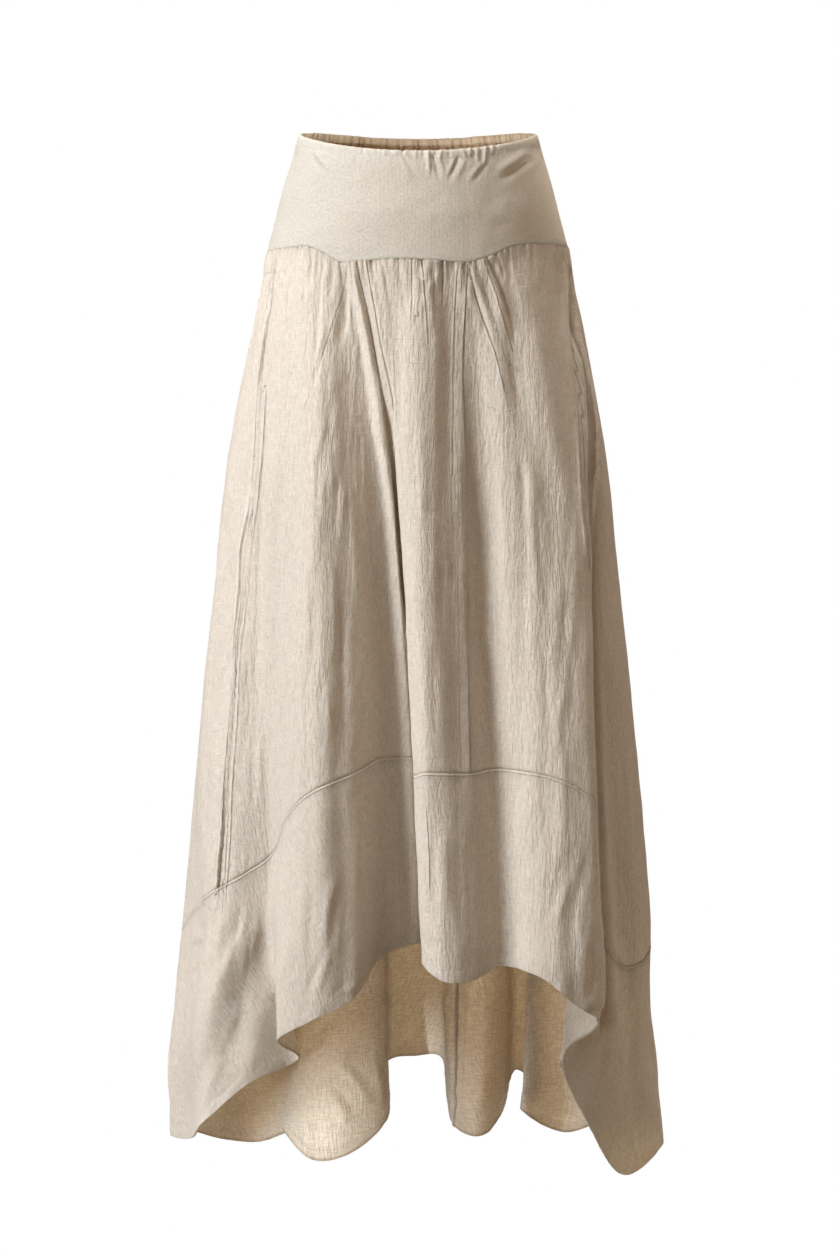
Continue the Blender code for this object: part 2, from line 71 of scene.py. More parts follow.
# Folds down the skirt, from the front centre round by the right:
# name, angle at the yoke in degrees, x and y at mid height, x, y and z at the hem
MID_HEIGHT = -480.0
FOLDS = (
    ("front_centre", 5.0, 3, -173, 22, -212, -808),
    ("fell_seam", 18.0, 48, -156, 52, -200, -809),
    ("right_valley", 28.0, 76, -143, 80, -178, -799),
    ("right_soft_crest", 40.0, 117, -160, 121, -204, -809),
    ("right_face", 56.0, 143, -151, 150, -196, -833),
    ("right_crest", 77.0, 162, -131, 174, -168, -856),
    ("right_inner", 83.0, 161, -90, 141, -110, -903),
    ("right_side_front", 88.0, 184, -68, 165, -82, -964),
    ("right_low_point", 94.0, 200, -38, 203, -44, -1027),
    ("right_side", 102.0, 205, 2, 246, -2, -1006),
    ("right_side_back", 115.0, 192, 68, 234, 60, -996),
    ("right_back_edge", 130.0, 170, 112, 198, 116, -1003),
    ("right_back_face", 140.0, 142, 144, 152, 146, -1021),
    ("right_back_nose", 149.0, 113, 152, 109, 116, -993),
    ("right_back_dark", 153.5, 107, 174, 123, 190, -975),
    ("right_back_inner", 158.0, 96, 177, 103, 203, -965),
    ("back_fold_right", 163.0, 80, 172, 87, 142, -999),
    ("back_fold_nose", 169.0, 58, 167, 62, 96, -1016),
    ("centre_back_seam", 175.0, 38, 174, 39, 110, -1009),
    ("back_fold_edge", 177.5, 29, 181, 33, 124, -998),
    ("back_dark_right", 180.0, 22, 187, 26, 206, -953),
    ("back_dark_middle", 188.0, -4, 191, -2, 222, -953),
    ("back_dark_left", 197.0, -30, 187, -34, 206, -957),
    ("bright_fold_right", 204.0, -50, 172, -34, 108, -1001),
    ("bright_fold_nose", 212.0, -72, 160, -76, 46, -1027),
    ("bright_fold_tip", 219.0, -94, 157, -112, 38, -1027),
    ("bright_fold_edge", 224.5, -106, 156, -137, 60, -1003),
    ("bright_fold_left", 230.0, -124, 152, -129, 99, -1009),
    ("left_back_face", 238.0, -145, 144, -164, 136, -1029),
    ("left_back_edge", 249.0, -170, 118, -200, 120, -1024),
    ("left_side_back", 261.0, -194, 66, -236, 66, -1004),
    ("left_side", 271.0, -207, 8, -248, 2, -997),
    ("left_side_front", 280.0, -199, -42, -228, -34, -993),
    ("left_seam", 289.5, -178, -87, -209, -104, -962),
    ("left_lower_slope", 298.0, -165, -106, -165, -117, -923),
    ("left_inner", 305.5, -149, -114, -119, -108, -902),
    ("left_crest", 314.5, -116, -151, -133, -168, -871),
    ("left_face", 322.0, -97, -162, -102, -188, -850),
    ("left_slope", 331.0, -61, -152, -64, -180, -831),
    ("left_turn", 335.0, -36, -139, -34, -150, -794),
    ("pleat_edge", 337.2, -13, -129, -2, -132, -784),
    ("pleat_back", 338.9, -13, -117, 9, -119, -783),
    ("pleat_root", 341.0, -9, -118, 15, -131, -786),
    ("centre_edge", 352.0, -9, -159, 5, -190, -796),
)

# Fullness of single folds between those heights:
# name, height of its middle, how far it reaches up and down, shift of x and y
FULLNESS = (
    ("right_crest", -290.0, 170.0, 18, -2),
    ("right_inner", -290.0, 170.0, 6, 0),
    ("right_side", -880.0, 130.0, -7, 0),
    ("right_low_point", -880.0, 130.0, -4, 0),
    ("right_side_back", -880.0, 130.0, -5, 0),
    ("left_side", -900.0, 140.0, -4, 0),
    ("left_side_front", -900.0, 140.0, -4, 0),
    ("left_seam", -330.0, 170.0, 4, -2),
    ("back_fold_edge", -880.0, 110.0, -7, -3),
    ("bright_fold_edge", -890.0, 100.0, 7, 0),
    ("left_crest", -800.0, 130.0, -4, 0),
    ("left_inner", -790.0, 110.0, -13, -4),
    ("centre_edge", -310.0, 160.0, -2, -2),
    ("pleat_edge", -290.0, 170.0, 3, 0),
    ("pleat_back", -290.0, 170.0, 3, 0),
    ("pleat_root", -290.0, 170.0, 4, 0),
    ("pleat_back", -235.0, 140.0, 2, -5),
    ("pleat_root", -235.0, 140.0, 2, -14),
    ("fell_seam", -240.0, 110.0, -4, 0),
)

# Height of the yoke seam at the folds, in between it is a smooth curve
YOKE_SEAM = (
    ("front_centre", -123.0),
    ("fell_seam", -125.0),
    ("right_valley", -118.0),
    ("right_soft_crest", -108.0),
    ("right_face", -105.5),
    ("right_side", -108.0),
    ("back_fold_nose", -114.0),
    ("left_side", -112.0),
    ("left_seam", -109.0),
    ("left_crest", -108.0),
    ("left_face", -114.0),
    ("left_slope", -124.5),
    ("pleat_root", -123.5),
    ("centre_edge", -121.5),
)

# Height of the seam between the long panels and the lower bands
BAND_SEAM = (
    ("front_centre", -612.0),
    ("fell_seam", -614.0),
    ("right_valley", -611.0),
    ("right_soft_crest", -615.0),
    ("right_face", -626.0),
    ("right_crest", -651.0),
    ("right_inner", -720.0),
    ("right_side_front", -786.0),
    ("right_low_point", -818.0),
    ("right_side", -806.0),
    ("right_side_back", -788.0),
    ("right_back_face", -765.0),
    ("centre_back_seam", -745.0),
    ("left_back_face", -760.0),
    ("left_side", -785.0),
    ("left_side_front", -762.0),
    ("left_seam", -735.0),
    ("left_inner", -698.0),
    ("left_crest", -648.0),
    ("left_slope", -614.0),
    ("left_turn", -602.0),
    ("pleat_edge", -602.0),
    ("centre_edge", -616.0),
)

# Long panels and lower bands: name, fold where it starts, fold where it ends
PANELS = (
    ("front_centre_panel", "pleat_root", "fell_seam"),
    ("front_right_panel", "fell_seam", "right_inner"),
    ("side_right_panel", "right_inner", "right_side_back"),
    ("back_right_panel", "right_side_back", "centre_back_seam"),
    ("back_left_panel", "centre_back_seam", "left_side_back"),
    ("side_left_panel", "left_side_back", "left_seam"),
    ("front_left_panel", "left_seam", "pleat_root"),
)
BANDS = (
    ("band_front", "pleat_root", "right_inner"),
    ("band_right", "right_inner", "right_side_back"),
    ("band_back_right", "right_side_back", "centre_back_seam"),
    ("band_back_left", "centre_back_seam", "left_side_back"),
    ("band_left", "left_side_back", "pleat_root"),
)

HIP_FULLNESS = 0.022
TOP_BLEND = 26.0
FOLD_LEVELS = 121
SMALL_AROUND = 0.02
SMALL_DOWN = 0.003

# ---------------------------------------------------------------- the fold surface
FOLD_NAMES = [fold[0] for fold in FOLDS]
FOLD_COUNT = len(FOLDS)
HEM_HEIGHTS = np.array([fold[6] for fold in FOLDS], dtype=float)


def fold_knots():
    """Places of the folds on the around axis, closer together where the folds are tight."""
    mid = np.array([fold[2:4] for fold in FOLDS], dtype=float)
    hem = np.array([fold[4:6] for fold in FOLDS], dtype=float)
    chord = 0.5 * np.linalg.norm(np.roll(mid, -1, axis=0) - mid, axis=1)
    chord += 0.5 * np.linalg.norm(np.roll(hem, -1, axis=0) - hem, axis=1)
    return np.concatenate([[0.0], np.cumsum(np.sqrt(chord))])


KNOTS = fold_knots()
PERIOD = KNOTS[-1]


def around(name):
    """The around coordinate of a named fold."""
    return KNOTS[FOLD_NAMES.index(name)]


def ease(value, low, high):
    """0 below low, 1 above high, and a smooth rise between them."""
    share = np.clip((value - low) / (high - low), 0.0, 1.0)
    return share * share * (3 - 2 * share)


def bell(value, middle, half_width):
    """1 where a value is at the middle, falling smoothly to 0 on both sides."""
    return np.exp(-(((value - middle) / half_width) ** 2))


def hermite(share, step, start, end, start_slope, end_slope):
    """A cubic from start to end with the given slopes, read at a share of the step."""
    value = (2 * share**3 - 3 * share**2 + 1) * start + (3 * share**2 - 2 * share**3) * end
    bend = (share**3 - 2 * share**2 + share) * start_slope + (share**3 - share**2) * end_slope
    return value + step * bend


def ring_curve(values, u):
    """Values of a closed ring, given at the folds, read at the around coordinates u."""
    steps = np.diff(KNOTS)
    shape = (-1,) + (1,) * (values.ndim - 1)
    after = (np.roll(values, -1, axis=0) - values) / steps.reshape(shape)
    before = np.roll(after, 1, axis=0)
    step_after = steps.reshape(shape)
    step_before = np.roll(steps, 1).reshape(shape)
    slopes = (after * step_before + before * step_after) / (step_after + step_before)
    u = np.mod(u, PERIOD)
    cell = np.clip(np.searchsorted(KNOTS, u, side="right") - 1, 0, FOLD_COUNT - 1)
    following = (cell + 1) % FOLD_COUNT
    step = steps[cell]
    share = ((u - KNOTS[cell]) / step).reshape(shape)
    return hermite(share, step.reshape(shape), values[cell], values[following],
                   slopes[cell], slopes[following])


def seam_heights(rows, u):
    """A seam's height at u, eased from one named fold to the next without overshoot."""
    places = np.array([around(name) for name, _ in rows])
    heights = np.array([height for _, height in rows])
    order = np.argsort(places)
    places = places[order]
    heights = heights[order]
    places = np.concatenate([places[-1:] - PERIOD, places, places[:1] + PERIOD])
    heights = np.concatenate([heights[-1:], heights, heights[:1]])
    steps = np.diff(places)
    rises = np.diff(heights) / steps
    slopes = np.zeros_like(heights)
    same_way = rises[1:] * rises[:-1] > 0
    mean = 2 * rises[1:] * rises[:-1] / np.where(same_way, rises[1:] + rises[:-1], 1.0)
    slopes[1:-1] = np.where(same_way, mean, 0.0)
    slopes[0] = slopes[-2]
    slopes[-1] = slopes[1]
    u = np.mod(u, PERIOD)
    cell = np.clip(np.searchsorted(places, u, side="right") - 1, 0, len(steps) - 1)
    share = (u - places[cell]) / steps[cell]
    return hermite(share, steps[cell], heights[cell], heights[cell + 1],
                   slopes[cell], slopes[cell + 1])


def oval(height):
    """Half width and half depth of the body's oval at a height."""
    heights, widths, depths = np.array(OVAL_SECTIONS)[::-1].T
    return np.interp(height, heights, widths), np.interp(height, heights, depths)


def oval_point(angle, height):
    """A point of the body's oval: the angle is 0 at the front and grows to the right."""
    angle, height = np.broadcast_arrays(angle, height)
    width, depth = oval(height)
    return np.stack([width * np.sin(angle), -depth * np.cos(angle), height], axis=-1)


def oval_angle(points):
    """The angle round the body's oval at which points lie."""
    width, depth = oval(points[..., 2])
    return np.arctan2(points[..., 0] / width, -points[..., 1] / depth)


def fold_lines(down):
    """Points of all folds at the shares down, an array of fold by share by 3."""
    angle = np.radians([fold[1] for fold in FOLDS])
    top_height = seam_heights(YOKE_SEAM, KNOTS[:-1])
    hem = np.array([fold[4:7] for fold in FOLDS], dtype=float)
    mid = np.array([fold[2:4] for fold in FOLDS], dtype=float)
    top = oval_point(angle, top_height)
    turn = ((top_height - MID_HEIGHT) / (top_height - hem[:, 2]))[:, None, None]
    share = np.asarray(down)[None, :, None]
    flat = top[:, None, :2] * ((share - turn) * (share - 1) / turn)
    flat = flat + mid[:, None, :] * (share * (share - 1) / (turn * (turn - 1)))
    flat = flat + hem[:, None, :2] * (share * (share - turn) / (1 - turn))
    flat = flat * (1 + HIP_FULLNESS * np.sin(math.pi * np.clip(share / turn, 0, 1)) ** 2)
    height = top_height[:, None, None] + share * (hem[:, None, 2:] - top_height[:, None, None])
    for name, middle, reach, shift_x, shift_y in FULLNESS:
        fold = FOLD_NAMES.index(name)
        away = np.clip((height[fold] - middle) / reach, -1.0, 1.0)
        flat[fold] += np.array([shift_x, shift_y]) * np.cos(away * math.pi / 2) ** 2
    return np.concatenate([flat, height], axis=2)


LEVELS = np.linspace(0.0, 1.0, FOLD_LEVELS)
LINES = fold_lines(LEVELS)


def skirt_surface(u, down):
    """Points of the plain skirt for a grid of around coordinates and shares down."""
    down = np.broadcast_to(down, (down.shape[0], len(u)))
    columns = ring_curve(LINES, u)
    place = np.clip(down, 0.0, 1.0) * (FOLD_LEVELS - 1)
    low = np.clip(place.astype(int), 0, FOLD_LEVELS - 2)
    part = (place - low)[..., None]
    pick = np.arange(len(u))[None, :]
    points = columns[pick, low] * (1 - part) + columns[pick, low + 1] * part
    on_oval = oval_point(oval_angle(points), points[..., 2])
    below_seam = (seam_heights(YOKE_SEAM, u) - points[..., 2])[..., None]
    keep = ease(below_seam, 0.0, TOP_BLEND)
    return on_oval * (1 - keep) + points * keep


def seam_line(u, share):
    """Points of the plain skirt along one share down, from the yoke seam at 0 to the hem at 1."""
    return skirt_surface(u, np.full((1, len(u)), share))[0]


def band_share(u):
    """How far down the skirt the seam of the lower band runs, at u."""
    top = seam_heights(YOKE_SEAM, u)
    return (top - seam_heights(BAND_SEAM, u)) / (top - ring_curve(HEM_HEIGHTS, u))


def unit(vectors):
    """The same vectors with a length of 1."""
    return vectors / np.maximum(np.linalg.norm(vectors, axis=-1, keepdims=True), 1e-9)


def plain_normals(u, down):
    """Outward unit normals of the plain surface."""
    across = skirt_surface(u + SMALL_AROUND, down) - skirt_surface(u - SMALL_AROUND, down)
    along = skirt_surface(u, np.clip(down + SMALL_DOWN, 0, 1))
    along = along - skirt_surface(u, np.clip(down - SMALL_DOWN, 0, 1))
    return unit(np.cross(along, across))


def grid_normals(points, ring=False):
    """Outward unit normals of a grid of points, rows down and columns around."""
    along = np.gradient(points, axis=0)
    if ring:
        across = np.roll(points, -1, axis=1) - np.roll(points, 1, axis=1)
    else:
        across = np.gradient(points, axis=1)
    return unit(np.cross(along, across))


# ---------------------------------------------------------------- gathers, creases, noise
NOISE_CELLS = 257
NOISE_SHIFT = 1000.0


def soft_noise(across, down, cell_across, cell_down, seed):
    """Smooth uneven heights from -1 to 1 over a plane, with cells of the given size."""
    table = np.random.default_rng(seed).uniform(-1.0, 1.0, (NOISE_CELLS, NOISE_CELLS))
    x = across / cell_across + NOISE_SHIFT
    y = down / cell_down + NOISE_SHIFT
    x_low = np.floor(x).astype(int)
    y_low = np.floor(y).astype(int)
    x_part = ease(x - x_low, 0.0, 1.0)
    y_part = ease(y - y_low, 0.0, 1.0)

    def row_heights(step):
        """Heights on the row of the table that lies so many steps below a point."""
        row = (y_low + step) % NOISE_CELLS
        left = table[row, x_low % NOISE_CELLS]
        right = table[row, (x_low + 1) % NOISE_CELLS]
        return left * (1 - x_part) + right * x_part

    return row_heights(0) * (1 - y_part) + row_heights(1) * y_part


# Creases listed in groups with the side they are seen from. A row has across and
# height at the start, across and height at the end, half width and depth, and after them,
# where it isn't as PLAIN_CREASE has it, the share that fades in, the sideways bow and the
# skew. Across is x for the front and back, and y for the sides. A ridge has a positive
# depth, a trough a negative one, and a skew near 1 makes a sharp edge on the right.
CREASES = (
    # front left panel, gathers and the soft dart
    ("front", (
        (-103, -113, -105, -152, 2.6, -1.8, 0), (-92, -116, -96, -160, 2.8, -2, 0, 0, 0.2),
        (-82, -119, -86, -166, 3, -2.2, 0, 0, 0.2), (-98, -114, -101, -145, 2.4, 1, 0),
        (-87, -118, -91, -156, 2.4, 1.2, 0), (-70, -129, -81, -231, 7, -3.2, 0.1, 3, 0.2),
        (-89, -201, -107, -260, 2.6, -1.5, 0.2, 1, 0.3), (-90, -178, -102, -242, 5, 1.6, 0.3, 1, -0.2),
        (-87, -273, -101, -325, 4, 1.2), (-79, -253, -92, -308, 4.5, -1.2),
        (-85, -294, -83, -373, 3.4, 1.3), (-94, -304, -97, -375, 4.2, -1.5),
        (-71, -333, -75, -394, 3.8, 1), (-78, -325, -80, -411, 4, -1),
        (-83, -407, -81, -521, 4.4, 1.2, 0.3, 1), (-76, -440, -70, -605, 5, -1.3),
        (-89, -525, -84, -589, 4, 1.3), (-97, -411, -101, -544, 6, -1.2),
        (-111, -488, -112, -611, 6, 0.8))),
    # front centre panel
    ("front", (
        (-6, -124, -7, -173, 2, -2.6, 0), (-2, -124, -4, -161, 2.4, 1.3, 0),
        (4, -125, 11, -206, 2.4, -2.8, 0, 1, 0.3), (7, -125, 13, -200, 2.6, 1.8, 0, 1, -0.3),
        (24, -124, 24, -159, 1.8, -2.6, 0), (-36, -124, -28, -161, 2.6, -1.8, 0, 1),
        (-20, -126, -13, -182, 3.4, -1.8, 0, 2), (-45, -124, -40, -147, 2.2, -1.5, 0),
        (31, -125, 30, -148, 2, -1.4, 0), (17, -125, 18, -153, 2.4, 0.9, 0), (1, -258, 6, -411, 4.4, 0.8),
        (9, -325, 10, -487, 4.6, -0.8), (19, -219, 21, -325, 5, -0.8), (27, -373, 28, -544, 5, 0.7),
        (14, -487, 15, -609, 4.4, -0.7))),
    # the two lines of the dart at the right and the strip between them
    ("front", (
        (50, -128, 78, -225, 3, 2, 0.1, 2, -0.2), (48, -132, 71, -219, 2.4, -1.6, 0.05, 2),
        (65, -120, 92, -210, 6.5, 2.2, 0.2, 2, 0.8), (69, -124, 96, -212, 4, -2.6, 0.02, 2),
        (77, -119, 84, -143, 2.4, -1.6, 0), (83, -116, 87, -137, 2.4, -1.4, 0),
        (92, -111, 96, -135, 2.4, -1.4, 0), (76, -223, 91, -287, 5, 1.3),
        (87, -211, 100, -277, 5, -1.5, 0.2), (103, -190, 118, -315, 6, 1, 0.3, 2),
        (101, -308, 103, -392, 5, -1.2), (93, -296, 97, -411, 5, 1), (112, -337, 121, -455, 5, -1.2),
        (105, -411, 111, -544, 5, 0.9), (145, -426, 132, -565, 6, -1.4), (136, -411, 124, -535, 6, 1),
        (137, -544, 141, -611, 5, -1.2), (124, -487, 122, -601, 5, -0.8))),
    # the inner line beside the right crest and the hollow between them
    ("front", (
        (150, -120, 156, -277, 5, 2.4, 0.05, -3, 0.6), (158, -131, 162, -296, 6.5, -5, 0.1, -3, -0.2),
        (156, -277, 162, -450, 4, 1.6, 0.2, 0, 0.5), (161, -286, 164, -412, 4, -2, 0.2))),
    # right side panel
    ("front", (
        (177, -292, 182, -341, 3, -2.2, 0.2, 2), (173, -296, 175, -335, 3, 1.2, 0.2, 2),
        (185, -326, 190, -453, 5, 1.2), (179, -414, 184, -570, 5, -1), (191, -473, 196, -629, 6, 1.2),
        (201, -552, 209, -709, 5, -1), (180, -608, 188, -746, 6, 1))),
    # front centre band and its right end
    ("front", (
        (24, -661, 29, -764, 7, 1.6, 0.3, -2), (13, -637, 17, -758, 5, -1), (35, -675, 42, -787, 7, -1),
        (147, -703, 130, -766, 5, 1.3), (141, -686, 123, -760, 6, -1.4), (159, -687, 140, -789, 6, -1.6),
        (164, -739, 151, -818, 5, 1.4), (122, -657, 112, -788, 8, 1), (165, -805, 157, -836, 3, -1.2),
        (161, -792, 152, -824, 3, 1), (6, -755, 24, -775, 3, 0.9), (2, -768, 21, -788, 3, -0.8))),
    # left band, its diagonal folds and short wrinkles
    ("front", (
        (-166, -740, -240, -985, 24, 6.5, 0.3, -4, 0.3),
        (-136, -740, -208, -985, 21, -5.4, 0.3, -4, -0.2), (-80, -710, -91, -791, 5, 1.6, 0.3, -3),
        (-73, -714, -83, -799, 5, -1.4, 0.3, -3), (-91, -785, -110, -835, 6, -1.6),
        (-83, -780, -100, -827, 5, 1.4), (-69, -814, -87, -829, 3, -1.2), (-59, -815, -73, -826, 3, 1),
        (-107, -705, -112, -809, 8, 1.2), (-209, -781, -230, -796, 4, 1.4),
        (-208, -789, -228, -806, 4, -1.6), (-210, -802, -225, -824, 4, 1.2),
        (-167, -747, -175, -810, 5, 1.2), (-160, -766, -170, -831, 5, -1.2),
        (-173, -841, -192, -893, 6, 1.3), (-168, -752, -204, -842, 11, -2.6, 0.3, -3, 0.2),
        (-146, -752, -178, -838, 10, 1.6, 0.3, -3, 0.2), (-200, -884, -223, -948, 6, -1.4),
        (-190, -893, -215, -961, 6, 1))),
    # left side panel near the strip
    ("front", (
        (-152, -325, -161, -451, 7, -0.9), (-140, -277, -143, -412, 9, 0.8),
        (-167, -490, -173, -645, 6, -1), (-151, -548, -155, -674, 6, 0.9),
        (-137, -451, -141, -605, 7, -0.8), (-183, -355, -192, -492, 5, -1),
        (-192, -492, -200, -649, 5, 0.8), (-202, -610, -210, -748, 5, -0.8))),
    # right side low
    ("front", (
        (190, -796, 215, -818, 3, 1.2, 0.2), (182, -784, 207, -820, 3, -1, 0.2),
        (220, -806, 234, -837, 3, 1.2, 0.2), (198, -846, 184, -933, 8, 1.4),
        (220, -861, 203, -967, 9, -1.6), (231, -913, 220, -1000, 7, 1.2), (184, -883, 174, -952, 6, -1.2))),
    # bright forward fold at the back left (inside of the cloth)
    ("back", (
        (-86, -929, -44, -985, 6, -2.6, 0.2), (-94, -946, -53, -998, 6, 2, 0.2),
        (-75, -926, -39, -972, 5, 2, 0.2), (-90, -967, -67, -1001, 5, -1.6, 0.2),
        (-67, -977, -87, -1005, 5, -1.4, 0.2), (-49, -935, -35, -985, 5, -1.6, 0.2))),
    # centre back fold
    ("back", (
        (34, -966, 73, -996, 5, -2, 0.2, -4), (35, -978, 62, -1001, 5, 1.6, 0.2, -4),
        (54, -886, 50, -936, 4, -1.2), (60, -906, 66, -966, 5, 1.2))),
    # back, seen from outside
    ("back", (
        (-70, -112, -76, -180, 3, -2.2, 0), (-44, -114, -47, -210, 4, -2.4, 0),
        (-12, -114, -12, -160, 2.4, -2, 0), (22, -114, 25, -240, 5, -2.2, 0),
        (58, -114, 66, -190, 3.6, -2.4, 0), (84, -112, 96, -226, 5, -2, 0),
        (-100, -112, -116, -260, 6, -2.4, 0, 3, 0.2), (-92, -250, -99, -420, 9, 1.6),
        (46, -300, 52, -520, 8, -1.5), (104, -330, 118, -560, 10, 1.8, 0.3, 0, 0.2),
        (-28, -420, -30, -640, 8, 1.3), (-130, -500, -146, -700, 10, -1.8),
        (-160, -800, -150, -960, 9, 2.2, 0.3, 4), (150, -800, 166, -930, 9, -2.2, 0.3, -4))),
    # left and right sides
    ("left", (
        (-34, -112, -38, -180, 3, -1.8, 0), (2, -112, 3, -220, 4, -2, 0),
        (34, -112, 40, -200, 3.4, -2, 0), (22, -260, 26, -480, 9, 1.6), (-26, -330, -30, -560, 8, -1.4),
        (30, -850, -12, -980, 12, 2.6, 0.3, 5), (60, -830, 24, -960, 10, -2.2, 0.3, 5))),
    ("right", (
        (-30, -108, -33, -190, 3, -2, 0), (8, -108, 10, -230, 4, -2, 0), (40, -110, 47, -200, 3.4, -2, 0),
        (28, -300, 34, -520, 9, 1.6), (-6, -420, -10, -640, 8, -1.4),
        (-10, -860, 26, -970, 12, 2.4, 0.3, -5), (44, -850, 66, -950, 10, -2, 0.3, -5))),
)

# The share that fades in, the sideways bow and the skew of a crease that gives none
PLAIN_CREASE = (0.3, 0.0, 0.0)
CREASE_START = -0.2
CREASE_END = 1.05
CREASE_SOFT_START = -0.02
CREASE_FULL_START = (-0.2, -0.1)
CREASE_FADES_OUT = (0.5, 1.0)
FACING_FADE = (0.0, 0.35)

# The axis that runs across each side, and the way that side faces
FACES = {
    "front": (0, np.array([0.0, -1.0, 0.0])),
    "back": (0, np.array([0.0, 1.0, 0.0])),
    "left": (1, np.array([-1.0, 0.0, 0.0])),
    "right": (1, np.array([1.0, 0.0, 0.0])),
}


def line_places(across, height, start, end):
    """How far points lie along a straight line and to its right side, and its length."""
    length = math.dist(start, end)
    run_across = (end[0] - start[0]) / length
    run_down = (end[1] - start[1]) / length
    across = across - start[0]
    below = height - start[1]
    return across * run_across + below * run_down, below * run_across - across * run_down, length


def crease_heights(points, normals, groups=CREASES):
    """How far the listed creases lift or sink each point of a grid."""
    heights = np.zeros(points.shape[:2])
    for face, rows in groups:
        axis, facing = FACES[face]
        faced = normals @ facing
        for start, top, end, low, half_width, depth, *given in rows:
            fade_in, bow, skew = (*given, *PLAIN_CREASE[len(given):])
            along, side, length = line_places(
                points[..., axis], points[..., 2], (start, top), (end, low))
            share = along / length
            near = (share > CREASE_START) & (share < CREASE_END) & (faced > 0)
            if not near.any():
                continue
            side = side - bow * np.sin(math.pi * np.clip(share, 0, 1))
            reach = half_width * np.where(side > 0, 1 - skew, 1 + skew)
            profile = np.clip(1 - (side / reach) ** 2, 0.0, 1.0) ** 2
            fade_ends = (CREASE_SOFT_START, fade_in) if fade_in > 0 else CREASE_FULL_START
            fade = ease(share, *fade_ends) * (1 - ease(share, *CREASE_FADES_OUT))
            heights += depth * profile * fade * ease(faced, *FACING_FADE)
    return heights


SWELL_FADE = (0.0, 0.3)
